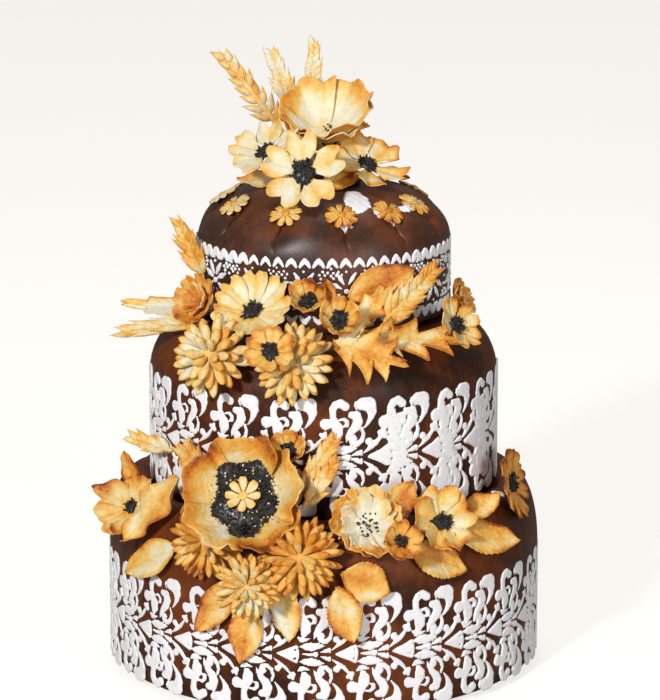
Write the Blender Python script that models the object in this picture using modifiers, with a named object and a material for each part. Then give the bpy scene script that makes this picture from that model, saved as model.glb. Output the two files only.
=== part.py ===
"""Three-tier chocolate cake with baked pastry flowers, leaves and wheat ears.

The cake stands on z = 0 with its axis on Z, and its decorated front faces -Y.
Sizes in this file are millimetres; MM turns them into metres.

Each decoration is a piece of baked pastry pressed on from the front, along the
line from one far point, until it rests on the tiers or on earlier pieces.
"""

import math

import bmesh
import bpy
from mathutils import Matrix, Vector
from mathutils.bvhtree import BVHTree

MM = 0.001

# Driving sizes of the three tiers.
BOTTOM_RADIUS = 150.0
MIDDLE_RADIUS = 120.6
TOP_RADIUS = 87.4
BOTTOM_HEIGHT = 125.0
MIDDLE_HEIGHT = 122.0
TOP_HEIGHT = 91.0
TIER_GAP = 0.3

# The covering is pleated into pillows that meet at these creases, in degrees from the front.
CREASES = (-55, -23, 11, 40, 67, 97, 128, 159, 190, 220, 249, 277)
STEPS_PER_PILLOW = 4

# Baked pastry.
PASTRY_THICKNESS = 2.2
PRESS_GAP = 0.35
PRESS_FROM = Vector((0.0, -2340.0, 749.0))
PRESS_TRAVEL = 160.0
EASE_LIMIT = 400

parts = bpy.data.collections.new("chocolate_cake")
tools = bpy.data.collections.new("joined_shapes")
resting = []


# ---------------------------------------------------------------- materials

def material(name, colour, roughness, metallic=0.0):
    """Principled material with one colour."""
    made = bpy.data.materials.new(name)
    made.use_nodes = True
    shader = made.node_tree.nodes["Principled BSDF"]
    shader.inputs["Base Color"].default_value = (*colour, 1.0)
    shader.inputs["Roughness"].default_value = roughness
    shader.inputs["Metallic"].default_value = metallic
    return made


# ---------------------------------------------------------------- mesh helpers

def clear_scene():
    """Remove every object, so that the script can be run again."""
    for old in list(bpy.data.objects):
        bpy.data.objects.remove(old, do_unlink=True)


def solid_mesh(obj):
    """Apply the object's modifiers, and return its closed mesh."""
    bpy.context.view_layer.update()
    graph = bpy.context.evaluated_depsgraph_get()
    mesh = bpy.data.meshes.new_from_object(obj.evaluated_get(graph))
    mesh.name = obj.name
    return mesh


def replace_mesh(obj, mesh):
    """Give the object a finished mesh in place of its modifiers."""
    obj.modifiers.clear()
    obj.data = mesh
    return obj


def object_from(name, shape, collection=tools):
    """Object at the origin from a bmesh, which is freed."""
    mesh = bpy.data.meshes.new(name)
    shape.to_mesh(mesh)
    shape.free()
    obj = bpy.data.objects.new(name, mesh)
    collection.objects.link(obj)
    return obj


def mapped_grid(columns, rows, place):
    """Grid whose points are moved to place(u, v), with u and v from 0 to 1."""
    shape = bmesh.new()
    bmesh.ops.create_grid(shape, x_segments=columns, y_segments=rows, size=0.5)
    for vertex in shape.verts:
        vertex.co = Vector(place(vertex.co.x + 0.5, vertex.co.y + 0.5)) * MM
    bmesh.ops.remove_doubles(shape, verts=shape.verts, dist=0.00001)
    return shape


def thick_sheet(name, shape, thickness=PASTRY_THICKNESS):
    """Rolled pastry: the sheet is its upper face, and the thickness lies below."""
    obj = object_from(name, shape)
    wall = obj.modifiers.new("thickness", "SOLIDIFY")
    wall.thickness = thickness * MM
    wall.offset = -1.0
    return replace_mesh(obj, solid_mesh(obj))


def ellipsoid(name, centre, radii, around=8, rings=5, turn=None):
    """Squashed ball, turned about its centre."""
    shape = bmesh.new()
    bmesh.ops.create_uvsphere(shape, u_segments=around, v_segments=rings, radius=MM)
    bmesh.ops.scale(shape, vec=radii, verts=shape.verts)
    if turn is not None:
        bmesh.ops.rotate(shape, cent=(0, 0, 0), matrix=turn, verts=shape.verts)
    bmesh.ops.translate(shape, vec=Vector(centre) * MM, verts=shape.verts)
    return object_from(name, shape)


def join_all(base, others):
    """One Boolean union of a collection of shapes onto the base."""
    if not others:
        return base
    group = bpy.data.collections.new(base.name + "_joined")
    tools.children.link(group)
    for other in others:
        tools.objects.unlink(other)
        group.objects.link(other)
    union = base.modifiers.new("join", "BOOLEAN")
    union.operation = "UNION"
    union.operand_type = "COLLECTION"
    union.collection = group
    union.solver = "EXACT"
    replace_mesh(base, solid_mesh(base))
    for other in others:
        bpy.data.objects.remove(other, do_unlink=True)
    bpy.data.collections.remove(group)
    return base


# ---------------------------------------------------------------- tiers

def pillow_angle(share):
    """Azimuth of a step, so that each pillow has the same number of steps."""
    position = share * len(CREASES)
    index = min(int(position), len(CREASES) - 1)
    start = CREASES[index]
    end = CREASES[index + 1] if index + 1 < len(CREASES) else CREASES[0] + 360
    return math.radians(start + (end - start) * (position - index))


def crease(share):
    """1 on a crease and 0 on the middle of a pillow."""
    return 1.0 - abs(math.sin(math.pi * share * len(CREASES)))


def tier(name, profile, crease_depth, crease_from, crease_to, seat, finish):
    """Turned tier whose top edge is drawn in at the creases of its pleated covering.

    Inside the seat radius the tier above rests on it, and the top stays flat.
    """
    steps = STEPS_PER_PILLOW * len(CREASES)
    shape = bmesh.new()
    points = [shape.verts.new((radius * MM, 0.0, height * MM)) for radius, height in profile]
    for upper, lower in zip(points, points[1:]):
        shape.edges.new((upper, lower))
    obj = object_from(name, shape)
    turn = obj.modifiers.new("turned", "SCREW")
    turn.steps = steps
    turn.render_steps = steps
    turn.use_merge_vertices = True
    turn.merge_threshold = 0.00001
    replace_mesh(obj, solid_mesh(obj))
    span = crease_to - crease_from
    widest = max(radius for radius, _ in profile)
    for vertex in obj.data.vertices:
        radius = math.hypot(vertex.co.x, vertex.co.y) / MM
        height = vertex.co.z / MM
        share = math.atan2(vertex.co.y, vertex.co.x) / math.tau % 1.0
        share = round(share * steps) / steps
        rise = min(max((height - crease_from) / span, 0.0), 1.0)
        inward = radius / widest if radius > seat else 0.0
        pull = crease_depth * crease(share) * rise * inward
        angle = pillow_angle(share)
        radius = max(radius - 0.5 * pull * (radius > 1.0), 0.0)
        vertex.co.x = radius * math.sin(angle) * MM
        vertex.co.y = -radius * math.cos(angle) * MM
        vertex.co.z = (height - pull) * MM
    obj.data.materials.append(finish)
    return obj


def add_tiers(chocolate, daisy_finish):
    """The three tiers, each standing in the dip of the one below."""
    ledge = BOTTOM_HEIGHT
    shelf = BOTTOM_HEIGHT + MIDDLE_HEIGHT
    bottom_profile = (
        (0.0, ledge),
        (MIDDLE_RADIUS + 0.5, ledge),
        (MIDDLE_RADIUS + 2.4, ledge + 6.5),
        (131.5, ledge + 10.5),
        (139.5, ledge + 6.5),
        (145.8, ledge - 5.0),
        (BOTTOM_RADIUS, ledge - 29.0),
        (BOTTOM_RADIUS, 3.0),
        (BOTTOM_RADIUS - 2.0, 0.0),
        (0.0, 0.0),
    )
    middle_profile = (
        (0.0, shelf),
        (TOP_RADIUS + 0.5, shelf),
        (TOP_RADIUS + 2.2, shelf + 2.5),
        (97.0, shelf + 1.0),
        (105.5, shelf - 6.5),
        (114.0, shelf - 18.0),
        (MIDDLE_RADIUS, shelf - 34.0),
        (MIDDLE_RADIUS, ledge + TIER_GAP + 2.5),
        (MIDDLE_RADIUS - 1.5, ledge + TIER_GAP),
        (0.0, ledge + TIER_GAP),
    )
    top = shelf + TOP_HEIGHT
    top_profile = (
        (0.0, top),
        (45.0, top - 2.5),
        (66.0, top - 8.5),
        (76.0, top - 14.5),
        (84.0, top - 24.0),
        (TOP_RADIUS, top - 36.0),
        (TOP_RADIUS, shelf + TIER_GAP + 2.0),
        (TOP_RADIUS - 1.5, shelf + TIER_GAP),
        (0.0, shelf + TIER_GAP),
    )
    on_ledge = MIDDLE_RADIUS + 1.0
    on_shelf = TOP_RADIUS + 1.0
    bottom = tier("tier_bottom", bottom_profile, 3.0, ledge - 4.0, ledge + 10.0, on_ledge, chocolate)
    middle = tier("tier_middle", middle_profile, 3.0, shelf - 20.0, shelf + 1.0, on_shelf, chocolate)
    upper = tier("tier_top", top_profile, 4.5, top - 34.0, top - 16.0, 1.0, chocolate)
    upper.data.materials.append(daisy_finish)
    mound = ellipsoid("mound", (6, -2, top), (20, 20, 13.3), 14, 8)
    join_all(upper, [*small_daisies(upper), mound])
    for piece in (bottom, middle, upper):
        rest(piece)


def small_daisies(covering):
    """Ring of flat daisies lying on the top pillows, to be fused to the covering."""
    azimuths = (-60, -21, 10, 39, 63, 115, 146, 177, 208, 239, 268)
    across = 22.0
    petals = 7
    ring_radius = 69.5
    slope = 31.0
    sheet = 4.4
    tree = BVHTree.FromPolygons(*world_points(covering))
    made = []

    def edge(u, v):
        reach = 0.5 * across * (0.86 + 0.14 * math.cos(math.tau * petals * u))
        return (v * reach * math.sin(math.tau * u), v * reach * math.cos(math.tau * u), 0.0)

    for azimuth in azimuths:
        daisy = thick_sheet("daisy", mapped_grid(2 * petals, 1, edge), sheet)
        above = cylinder_point(azimuth, ring_radius, 500.0) * MM
        spot = tree.ray_cast(above, Vector((0.0, 0.0, -1.0)))[0]
        raised = Matrix.Translation((0.0, 0.0, 0.5 * sheet * MM))
        daisy.data.transform(Matrix.Translation(spot) @ facing(azimuth, 90.0 - slope, 0.0) @ raised)
        made.append(daisy)
    return made


# ---------------------------------------------------------------- placing

def cylinder_point(azimuth, radius, height):
    """Point by azimuth from the front, in degrees, distance from the axis and height."""
    angle = math.radians(azimuth)
    return Vector((radius * math.sin(angle), -radius * math.cos(angle), height))


def facing(turn, tilt, roll):
    """Rotation of a flower whose face looks turn degrees round from the front, tilted up."""
    turn_angle = math.radians(turn)
    tilt_angle = math.radians(tilt)
    out = Vector((
        math.sin(turn_angle) * math.cos(tilt_angle),
        -math.cos(turn_angle) * math.cos(tilt_angle),
        math.sin(tilt_angle),
    ))
    up = Vector((0, 0, 1)) - out * out.z
    if up.length < 0.001:
        up = Vector((math.sin(turn_angle), -math.cos(turn_angle), 0.0))
    up.normalize()
    side = up.cross(out)
    frame = Matrix((side, up, out)).transposed().to_4x4()
    return frame @ Matrix.Rotation(math.radians(roll), 4, "Z")


def along(base, tip, turn, tilt):
    """Frame of a leaf or an ear: Y runs from base to tip, and Z is nearest the facing."""
    run = Vector(tip) - Vector(base)
    out = facing(turn, tilt, 0.0).to_3x3() @ Vector((0, 0, 1))
    length = run.length
    run.normalize()
    out = (out - run * out.dot(run)).normalized()
    side = run.cross(out)
    frame = Matrix((side, run, out)).transposed().to_4x4()
    return Matrix.Translation(Vector(base) * MM) @ frame, length


def world_points(obj, swell=0.0):
    """Vertices and faces in world space, moved outwards by swell."""
    frame = obj.matrix_world
    turn = frame.to_3x3()
    points = [frame @ v.co + turn @ v.normal * swell * MM for v in obj.data.vertices]
    faces = [tuple(face.vertices) for face in obj.data.polygons]
    return points, faces


def rest(obj):
    """Add the object to the cake as something that later pieces can lie on."""
    if obj.name in tools.objects:
        tools.objects.unlink(obj)
        parts.objects.link(obj)
    bpy.context.view_layer.update()
    points, faces = world_points(obj)
    low = Vector(min(p[i] for p in points) for i in range(3))
    high = Vector(max(p[i] for p in points) for i in range(3))
    resting.append((obj.name, points, BVHTree.FromPolygons(points, faces), low, high))


def boxes_meet(points, low, high, reach=0.001):
    """True where the points' box touches the box from low to high."""
    for i in range(3):
        if min(p[i] for p in points) > high[i] + reach:
            return False
        if max(p[i] for p in points) < low[i] - reach:
            return False
    return True


def slide_to_contact(points, faces, push):
    """Distance along the push, from the nominal place, at which the piece meets the cake."""
    travel = PRESS_TRAVEL * MM
    own = BVHTree.FromPolygons(points, faces)
    gaps = []
    for _, other_points, tree, _, _ in resting:
        for point in points:
            hit = tree.ray_cast(point - push * travel, push)
            if hit[0] is not None:
                gaps.append(hit[3] - travel)
        for point in other_points:
            hit = own.ray_cast(point + push * 2.0 * travel, -push)
            if hit[0] is not None:
                gaps.append(hit[3] - 2.0 * travel)
    return min(gaps, default=0.0)


def press(obj, matrix, line=None):
    """Push a piece along its line until it meets the cake, and leave it there.

    The piece comes from PRESS_TRAVEL in front of its place, stops at first contact and
    is eased back until nothing is nearer than PRESS_GAP.
    """
    obj.matrix_world = matrix
    points, faces = world_points(obj)
    centre = sum(points, Vector()) / len(points)
    push = (centre - PRESS_FROM * MM) if line is None else Vector(line)
    push.normalize()
    matrix = Matrix.Translation(push * slide_to_contact(points, faces, push)) @ matrix
    ease = Matrix.Translation(-push * 0.25 * MM)
    for _ in range(EASE_LIMIT):
        obj.matrix_world = matrix
        grown, faces = world_points(obj, PRESS_GAP)
        tree = BVHTree.FromPolygons(grown, faces)
        near = [item for item in resting if boxes_meet(grown, item[3], item[4])]
        if not any(tree.overlap(item[2]) for item in near):
            break
        matrix = ease @ matrix
    rest(obj)


# ---------------------------------------------------------------- pastry shapes

def flower_sheet(
    name, across, petals=5, valley=0.4, notch=0.1, cup=6.0, heart=17.0, mound=3.5,
    ruffle=0.0, points=6, rings=2,
):
    """Flower cut from one sheet and cupped, facing +Z with its first petal at +Y.

    valley is how near the centre the cuts between petals reach, as a share of the
    radius, notch the nick in each petal's tip, cup the height of the rim, and heart
    and mound the width and height of the seeds heaped in the middle.
    """
    reach = 0.5 * across
    inner = heart / across

    def place(u, v):
        turn = petals * u
        side = 2.0 * (turn - round(turn))
        outline = valley + (1.0 - valley) * (1.0 - abs(side) ** 3.5)
        outline -= notch * math.exp(-(side / 0.16) ** 2)
        ring = round(v * rings)
        share = inner * (ring > 0)
        if ring > 1:
            share += (outline - inner) * (ring - 1) / (rings - 1)
        lift = cup * share ** 2.0 + mound * (ring == 0)
        lift += ruffle * math.sin(2.0 * math.tau * petals * u + 1.0) * share ** 3
        angle = math.tau * u
        return (reach * share * math.sin(angle), reach * share * math.cos(angle), lift)

    return thick_sheet(name, mapped_grid(points * petals, rings, place))


def poppy(name, across, depth, seeds, rings=3):
    """Deep ruffled flower: a wavy bowl with a bed of seeds."""
    return flower_sheet(
        name, across, valley=0.86, notch=0.03, cup=depth, heart=seeds, mound=3.0,
        ruffle=4.0, points=5, rings=rings,
    )


def poppy_with_bloom(name, across, depth, seeds):
    """Poppy with a small pale bloom standing in its seeds."""
    bloom = flower_sheet(
        "bloom", 0.5 * seeds, petals=8, valley=0.6, notch=0.0, cup=2.0, heart=4.0, mound=0.0, points=2,
    )
    bloom.data.transform(Matrix.Translation((0, 0, 3.6 * MM)))
    return join_all(poppy(name, across, depth, seeds, 4), [bloom])


def mum(name, across, thick=4.2):
    """Many plump petals in three tiers on a round core."""
    reach = 0.5 * across
    core = ellipsoid(name, (0, 0, 1.0), (0.36 * reach, 0.36 * reach, 0.34 * reach), 7, 4)
    rows = ((11, 1.0, -4.0, 0.0), (8, 0.80, 22.0, 0.5), (4, 0.60, 52.0, 0.2))
    petals = []
    for count, length, lift, shift in rows:
        for index in range(count):
            turn = math.tau * (index + shift) / count
            half = 0.38 * length * reach
            middle = length * reach - half
            slim = (0.064 * across, 0.5 * thick, half)
            petal = ellipsoid("petal", (0, middle, 0), slim, 3, 3, Matrix.Rotation(math.pi / 2, 3, "X"))
            petals.append(petal)
            raised = Matrix.Rotation(-turn, 4, "Z") @ Matrix.Rotation(math.radians(lift), 4, "X")
            petal.data.transform(raised)
    return join_all(core, petals)


def leaf(name, length, width, lobes=0, depth=0.0, fold=0.18, curl=0.1, fullness=0.8, rows=6):
    """Leaf from the origin along +Y, folded at its rib and curled along its length.

    The widest rows of a lobed leaf are its lobes, and between them the blade is drawn
    in by depth, as a share of its width.
    """
    if lobes:
        rows = 2 * lobes

    def place(u, v):
        side = 2.0 * u - 1.0
        envelope = math.sin(math.pi * v ** fullness) ** 0.75 if 0.0 < v < 1.0 else 0.0
        half = 0.5 * width * envelope
        if v < 0.01:
            half = 0.08 * width
        half *= 1.0 - depth * (0.5 - 0.5 * math.cos(math.tau * lobes * v))
        forward = depth * abs(side) * length / rows * math.cos(math.tau * lobes * v)
        lift = fold * abs(side) * half + curl * length * (v - 0.35) ** 2
        lift += 0.04 * length * math.sin(5.0 * v + 1.5 * side) * abs(side) * v
        return (side * half, length * v + forward * (0.0 < v < 1.0), lift)

    return thick_sheet(name, mapped_grid(2, rows, place))


def ear(name, length, width, stem, levels=6, sides=6):
    """Wheat ear along +Y: a thin stem, then spikelets set to the left and right in turn."""
    rows = 2 * levels + 3
    neck = 1.3

    def place(u, v):
        row = round(v * rows)
        angle = math.tau * u
        if row == 0 or row == rows:
            return (0.0, 0.0 if row == 0 else length, 0.0)
        if row == 1:
            return (neck * math.cos(angle), 0.6, -neck * math.sin(angle))
        level, upper = divmod(row - 2, 2)
        pitch = (length - stem) / (levels + 0.6)
        envelope = math.sin(math.pi * (0.22 + 0.66 * level / levels))
        half = 0.5 * width * envelope * (1.0 if upper else 0.52)
        if row == 2:
            half = neck
        along_ear = stem + pitch * (level + 0.72 * upper)
        along_ear += 0.26 * pitch * math.cos(angle) * (row > 2)
        return (half * math.cos(angle), along_ear, -0.72 * half * math.sin(angle))

    shape = mapped_grid(sides, rows, place)
    bmesh.ops.recalc_face_normals(shape, faces=shape.faces)
    return object_from(name, shape)


# ---------------------------------------------------------------- decorations

def add_flower(flower, at, look, finish, roll=0.0, line=None):
    """Press a flower on at a point, looking (turn, tilt) degrees."""
    flower.data.materials.clear()
    flower.data.materials.append(finish)
    matrix = Matrix.Translation(Vector(at) * MM) @ facing(*look, roll)
    press(flower, matrix, line)


def add_leaf(name, base, tip, look, width, finish, **shape):
    """Press a leaf on between two points, with its upper face looking (turn, tilt)."""
    matrix, length = along(base, tip, *look)
    piece = leaf(name, length, width, **shape)
    piece.data.materials.append(finish)
    press(piece, matrix)


def add_ear(name, base, tip, look, width, finish, stem=4.0, line=None, **shape):
    """Press a wheat ear on between two points."""
    matrix, length = along(base, tip, *look)
    piece = ear(name, length, width, stem, **shape)
    piece.data.materials.append(finish)
    press(piece, matrix, line)


def decorate_top(pale, golden):
    """Ears standing in the middle, a white poppy before them and open flowers round it."""
    down = (0.0, 0.0, -1.0)
    add_ear("ear_top_left", (-4, 27, 338), (-75, 27, 430), (0, 5), 13, golden, 46, down)
    add_ear("ear_top_mid", (-2, 33, 338), (-39, 31, 431), (0, 5), 12, golden, 48, down)
    add_ear("ear_top_right", (-9, 36, 337), (-6, 32, 438), (0, 5), 11, golden, 52, down)
    add_leaf("leaf_top_left", (-22, -35, 346), (-58, -35, 344), (-20, 60), 18, pale)
    add_leaf("leaf_top_right", (-2, -60, 345), (25, -48, 352), (5, 45), 17, golden)
    add_flower(poppy("poppy_crown", 64, 22, 14), (3, 4, 372), (-12, 66), pale)
    left = flower_sheet("anemone_top_left", 50, cup=5.0)
    add_flower(left, (-40, -25, 363), (-35, 55), pale, 20)
    right = flower_sheet("anemone_top_right", 54, cup=5.0)
    add_flower(right, (31, -25, 354), (30, 58), golden, 10)
    front = flower_sheet("anemone_top_front", 55, cup=5.0, heart=18.0)
    add_flower(front, (-13.5, -40, 351), (-5, 30), pale)
    back = flower_sheet("anemone_top_back", 54, cup=5.0, heart=18.0)
    add_flower(back, (4, 44, 354), (178, 38), pale, 0, (0.0, -1.0, -0.3))
    matrix, length = along((30, 24, 350), (60, 34, 335), 110, 65)
    behind = leaf("leaf_top_back", length, 18)
    behind.data.materials.append(golden)
    press(behind, matrix, (-0.5, -0.3, -1.0))


def decorate_middle(pale, golden, brown):
    """Bouquet on the middle tier, heaped against the top tier from left to right."""
    add_ear("ear_mid_upright", (-81, -55, 278), (-100, -50, 325), (-40, 10), 14, brown)
    add_leaf("leaf_mid_far", (-78, -50, 258), (-136, -42, 260), (-30, 50), 14, pale, lobes=3, depth=0.2)
    add_ear("ear_mid_flat", (-76, -62, 255), (-148, -50, 242), (-20, 50), 13, golden)
    add_leaf("leaf_mid_upright", (4, -100, 265), (2, -98, 289), (0, 20), 12, golden, curl=0.3, rows=5)
    add_leaf("leaf_mid_folded", (17, -95, 275), (60, -75, 290), (25, 25), 24, brown, fold=0.3)
    add_leaf("leaf_mid_toothed", (12, -110, 252), (47, -90, 283), (20, 20), 20, golden)
    add_ear("ear_mid_feather", (38, -97, 258), (79, -60, 295), (30, 20), 17, golden)
    behind = flower_sheet(
        "blossom_mid_right", 32, petals=6, valley=0.6, notch=0.04, heart=8.0, points=4,
    )
    add_flower(behind, (93, -52, 264), (75, 25), brown)
    oak = dict(lobes=4, depth=0.55)
    add_leaf("leaf_mid_oak_long", (26, -117, 254), (97, -80, 241), (30, 45), 38, golden, **oak)
    add_leaf("leaf_mid_oak_low", (8, -121, 251), (54, -116, 235), (12, 25), 48, golden, **oak)
    right = flower_sheet("anemone_mid_right", 40, valley=0.55, heart=15.0)
    add_flower(right, (90, -65, 250), (55, 30), pale)
    blossom = flower_sheet("blossom_mid_left", 34, petals=8, valley=0.6, heart=9.0, points=4)
    add_flower(blossom, (-84, -76, 269), (-45, 25), golden)
    add_flower(small_cup("cup_mid_upper", 25), (-10, -100, 272), (-8, 45), golden)
    add_flower(small_cup("cup_mid_lower", 27), (10, -112, 262), (8, 35), golden)
    yellow = flower_sheet(
        "bloom_mid_yellow", 53, petals=8, valley=0.62, notch=0.03, cup=8.0, heart=18.0, points=4,
    )
    add_flower(yellow, (-46, -105, 270), (-12, 50), pale)
    add_flower(mum("mum_mid_left", 56), (-75, -110, 240), (-22, 18), golden)
    add_flower(mum("mum_mid_right", 57), (-20, -130, 239), (0, 22), pale)
    small = flower_sheet(
        "anemone_mid_small", 33, petals=6, valley=0.6, notch=0.04, cup=4.0, heart=14.0, points=4,
    )
    add_flower(small, (-35, -128, 247), (-8, 40), golden)


def small_cup(name, across):
    """Half-open flower with a few seeds."""
    return flower_sheet(
        name, across, valley=0.75, notch=0.05, cup=0.42 * across, heart=0.42 * across,
        mound=2.6, points=2,
    )


def decorate_bottom(pale, golden, brown):
    """Main bouquet on the bottom tier: leaves and ears behind, then blooms before them."""
    add_ear("ear_low_left", (-100, -90, 169), (-136, -75, 176), (-20, 40), 12, golden)
    add_ear("ear_low_inner", (-82, -100, 149), (-94, -90, 179), (-30, 20), 15, golden)
    add_ear("ear_low_tall", (-16, -130, 148), (10, -124, 191), (0, 15), 12, brown)
    add_ear("ear_low_short", (-14, -132, 139), (13, -124, 175), (0, 15), 12, golden)
    add_leaf("leaf_low_upright", (-127, -80, 138), (-134, -80, 166), (-40, 15), 15, golden, rows=5)
    add_leaf("leaf_low_outward", (-134, -80, 136), (-157, -70, 138), (-30, 45), 14, golden, rows=5)
    add_leaf("leaf_low_browned", (40, -125, 128), (60, -112, 153), (25, 20), 22, brown)
    add_leaf("leaf_low_round", (-100, -113, 108), (-136, -88, 85), (-42, 25), 25, pale, curl=-0.1)
    broad = dict(fullness=0.9)
    add_leaf("leaf_right_up", (90, -108, 127), (119, -88, 137), (40, 45), 18, golden, **broad)
    add_leaf("leaf_right_out", (88, -114, 117), (131, -85, 105), (45, 30), 24, golden, **broad)
    add_leaf("leaf_right_low", (57, -140, 115), (94, -120, 95), (32, 20), 26, golden, **broad)
    add_leaf("leaf_hang_right", (12, -152, 102), (43, -148, 88), (12, 12), 28, golden, **broad)
    add_leaf("leaf_hang_browned", (9, -152, 92), (19, -152, 55), (8, 8), 24, brown, **broad)
    add_leaf("leaf_hang_pale", (-27, -150, 95), (-22, -150, 55), (-8, 8), 20, pale)
    add_leaf("leaf_hang_mid", (-49, -146, 82), (-54, -146, 39), (-18, 8), 24, golden)
    add_leaf("leaf_hang_left", (-60, -140, 92), (-84, -132, 56), (-28, 8), 22, golden)
    left = flower_sheet("anemone_low_left", 48, cup=5.0, heart=13.0)
    add_flower(left, (-132, -85, 129), (-35, 38), golden)
    add_leaf("leaf_low_curled", (-98, -105, 155), (-134, -95, 108), (-38, 25), 24, pale, fold=0.3, rows=7)
    add_flower(small_cup("cup_low", 23), (-23, -127, 177), (-5, 40), golden)
    tuck = dict(fold=0.3, rows=5)
    add_leaf("leaf_low_tucked", (-72, -125, 134), (-88, -115, 146), (-30, 25), 17, brown, **tuck)
    add_flower(poppy("ruffle_low_white", 46, 10, 15), (28, -145, 132), (8, 30), pale)
    small = flower_sheet("blossom_low_small", 27, valley=0.7, notch=0.03, heart=9.0, points=4)
    add_flower(small, (52, -145, 121), (20, 30), golden)
    right = flower_sheet("anemone_low_right", 42, valley=0.5, cup=5.0, heart=15.0)
    add_flower(right, (80, -122, 129), (28, 30), pale)
    side = flower_sheet(
        "bloom_low_side", 50, petals=9, valley=0.5, notch=0.0, cup=3.0, heart=13.0, points=4,
    )
    add_flower(side, (130, -50, 134), (72, 15), golden)
    add_flower(mum("mum_low_left", 55), (-80, -141, 120), (-22, 15), golden)
    add_flower(mum("mum_low_right", 58), (-14, -162, 114), (0, 18), brown)
    add_flower(poppy_with_bloom("poppy_low", 75, 20, 43), (-51, -150, 150), (-8, 30), golden)
    add_flower(mum("mum_low_front", 47), (-49, -168, 96), (-8, 12), pale)


def build():
    """Build the whole cake."""
    clear_scene()
    scene_root = bpy.context.scene.collection
    scene_root.children.link(parts)
    scene_root.children.link(tools)
    chocolate = material("chocolate_covering", (0.045, 0.018, 0.010), 0.42)
    pale = material("pastry_pale", (0.78, 0.55, 0.24), 0.55)
    golden = material("pastry_golden", (0.66, 0.32, 0.08), 0.5)
    brown = material("pastry_brown", (0.48, 0.17, 0.03), 0.48)
    add_tiers(chocolate, golden)
    decorate_top(pale, golden)
    decorate_middle(pale, golden, brown)
    decorate_bottom(pale, golden, brown)
    bpy.data.collections.remove(tools)


build()
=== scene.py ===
"""Three-tier chocolate cake with white icing bands and baked pastry flowers, leaves and wheat ears."""

import math

import bpy
import numpy as np
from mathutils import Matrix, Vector
from mathutils.bvhtree import BVHTree


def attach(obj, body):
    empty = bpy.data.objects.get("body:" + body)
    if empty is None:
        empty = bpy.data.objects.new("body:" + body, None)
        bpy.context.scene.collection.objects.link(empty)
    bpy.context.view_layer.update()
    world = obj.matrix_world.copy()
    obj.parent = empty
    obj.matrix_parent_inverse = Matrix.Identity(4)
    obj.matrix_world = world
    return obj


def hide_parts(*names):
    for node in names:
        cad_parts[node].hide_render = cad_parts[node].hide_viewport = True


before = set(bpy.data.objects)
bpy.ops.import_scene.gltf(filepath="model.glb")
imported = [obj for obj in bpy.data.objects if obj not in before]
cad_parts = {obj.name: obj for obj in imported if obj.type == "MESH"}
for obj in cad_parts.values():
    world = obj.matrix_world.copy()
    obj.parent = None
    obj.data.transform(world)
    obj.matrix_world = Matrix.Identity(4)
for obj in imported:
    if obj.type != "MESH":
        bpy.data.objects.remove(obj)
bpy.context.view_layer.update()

# ---------------------------------------------------------------- the covered tiers
# Each tier is a round cake wrapped in rolled dark chocolate paste. The paste is drawn in at
# the shoulder into soft pillows with a crease between them, and is faintly dusted with sugar.

MM = 0.001
CRACK_DEPTH = 2.1  # millimetres
CRACK_WIDTH = 0.022  # as a share of a pillow
# azimuths of the creases in degrees, from the front of the cake towards its right
CREASES = (-55, -23, 11, 40, 67, 97, 128, 159, 190, 220, 249, 277)
BOTTOM_RADIUS = 150.0
MIDDLE_RADIUS = 120.6
TOP_RADIUS = 87.4


def put(tree, kind, inputs=(), **settings):
    """Add a node, with its inputs given as numbers or as sockets to link."""
    node = tree.nodes.new(kind)
    for key, value in settings.items():
        setattr(node, key, value)
    for slot, value in dict(inputs).items():
        if isinstance(value, bpy.types.NodeSocket):
            tree.links.new(value, node.inputs[slot])
        else:
            node.inputs[slot].default_value = value
    return node


def field(tree, operation, first, second=0.0, third=0.0):
    """One sum or comparison on numbers."""
    return put(tree, "ShaderNodeMath", {0: first, 1: second, 2: third}, operation=operation).outputs[0]


def spanned(tree, value, low, high, first, last):
    """Number that goes from first to last while the value goes from low to high."""
    return put(tree, "ShaderNodeMapRange", {0: value, 1: low, 2: high, 3: first, 4: last}).outputs[0]


def noise(tree, where, scale, detail, roughness=0.5):
    """Soft random share of each place."""
    return put(tree, "ShaderNodeTexNoise", {
        "Vector": where, "Scale": scale, "Detail": detail, "Roughness": roughness,
    }).outputs["Fac"]


def colour_ramp(tree, share, stops):
    """Colour by share along a row of (place, colour) stops."""
    node = put(tree, "ShaderNodeValToRGB", {"Fac": share})
    while len(node.color_ramp.elements) < len(stops):
        node.color_ramp.elements.new(0.5)
    for element, (place, colour) in zip(node.color_ramp.elements, stops):
        element.position = place
        element.color = (*colour, 1.0)
    return node.outputs["Color"]


def blank_material(name, roughness):
    """Material with a Principled shader, and that shader."""
    made = bpy.data.materials.new(name)
    made.use_nodes = True
    shader = made.node_tree.nodes["Principled BSDF"]
    shader.inputs["Roughness"].default_value = roughness
    return made, shader


def roughen(tree, shader, height, strength, distance):
    """Fine bumps on a shader's surface."""
    bump = put(tree, "ShaderNodeBump", {"Height": height, "Strength": strength, "Distance": distance})
    tree.links.new(bump.outputs["Normal"], shader.inputs["Normal"])


def start_group(name, inputs, outputs):
    """New shader group with numbers for inputs, its input sockets and its output node."""
    group = bpy.data.node_groups.new(name, "ShaderNodeTree")
    for label in inputs:
        group.interface.new_socket(label, in_out="INPUT", socket_type="NodeSocketFloat")
    for label in outputs:
        kind = "NodeSocketColor" if label == "Color" else "NodeSocketFloat"
        group.interface.new_socket(label, in_out="OUTPUT", socket_type=kind)
    return group, group.nodes.new("NodeGroupInput").outputs, group.nodes.new("NodeGroupOutput")


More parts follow.
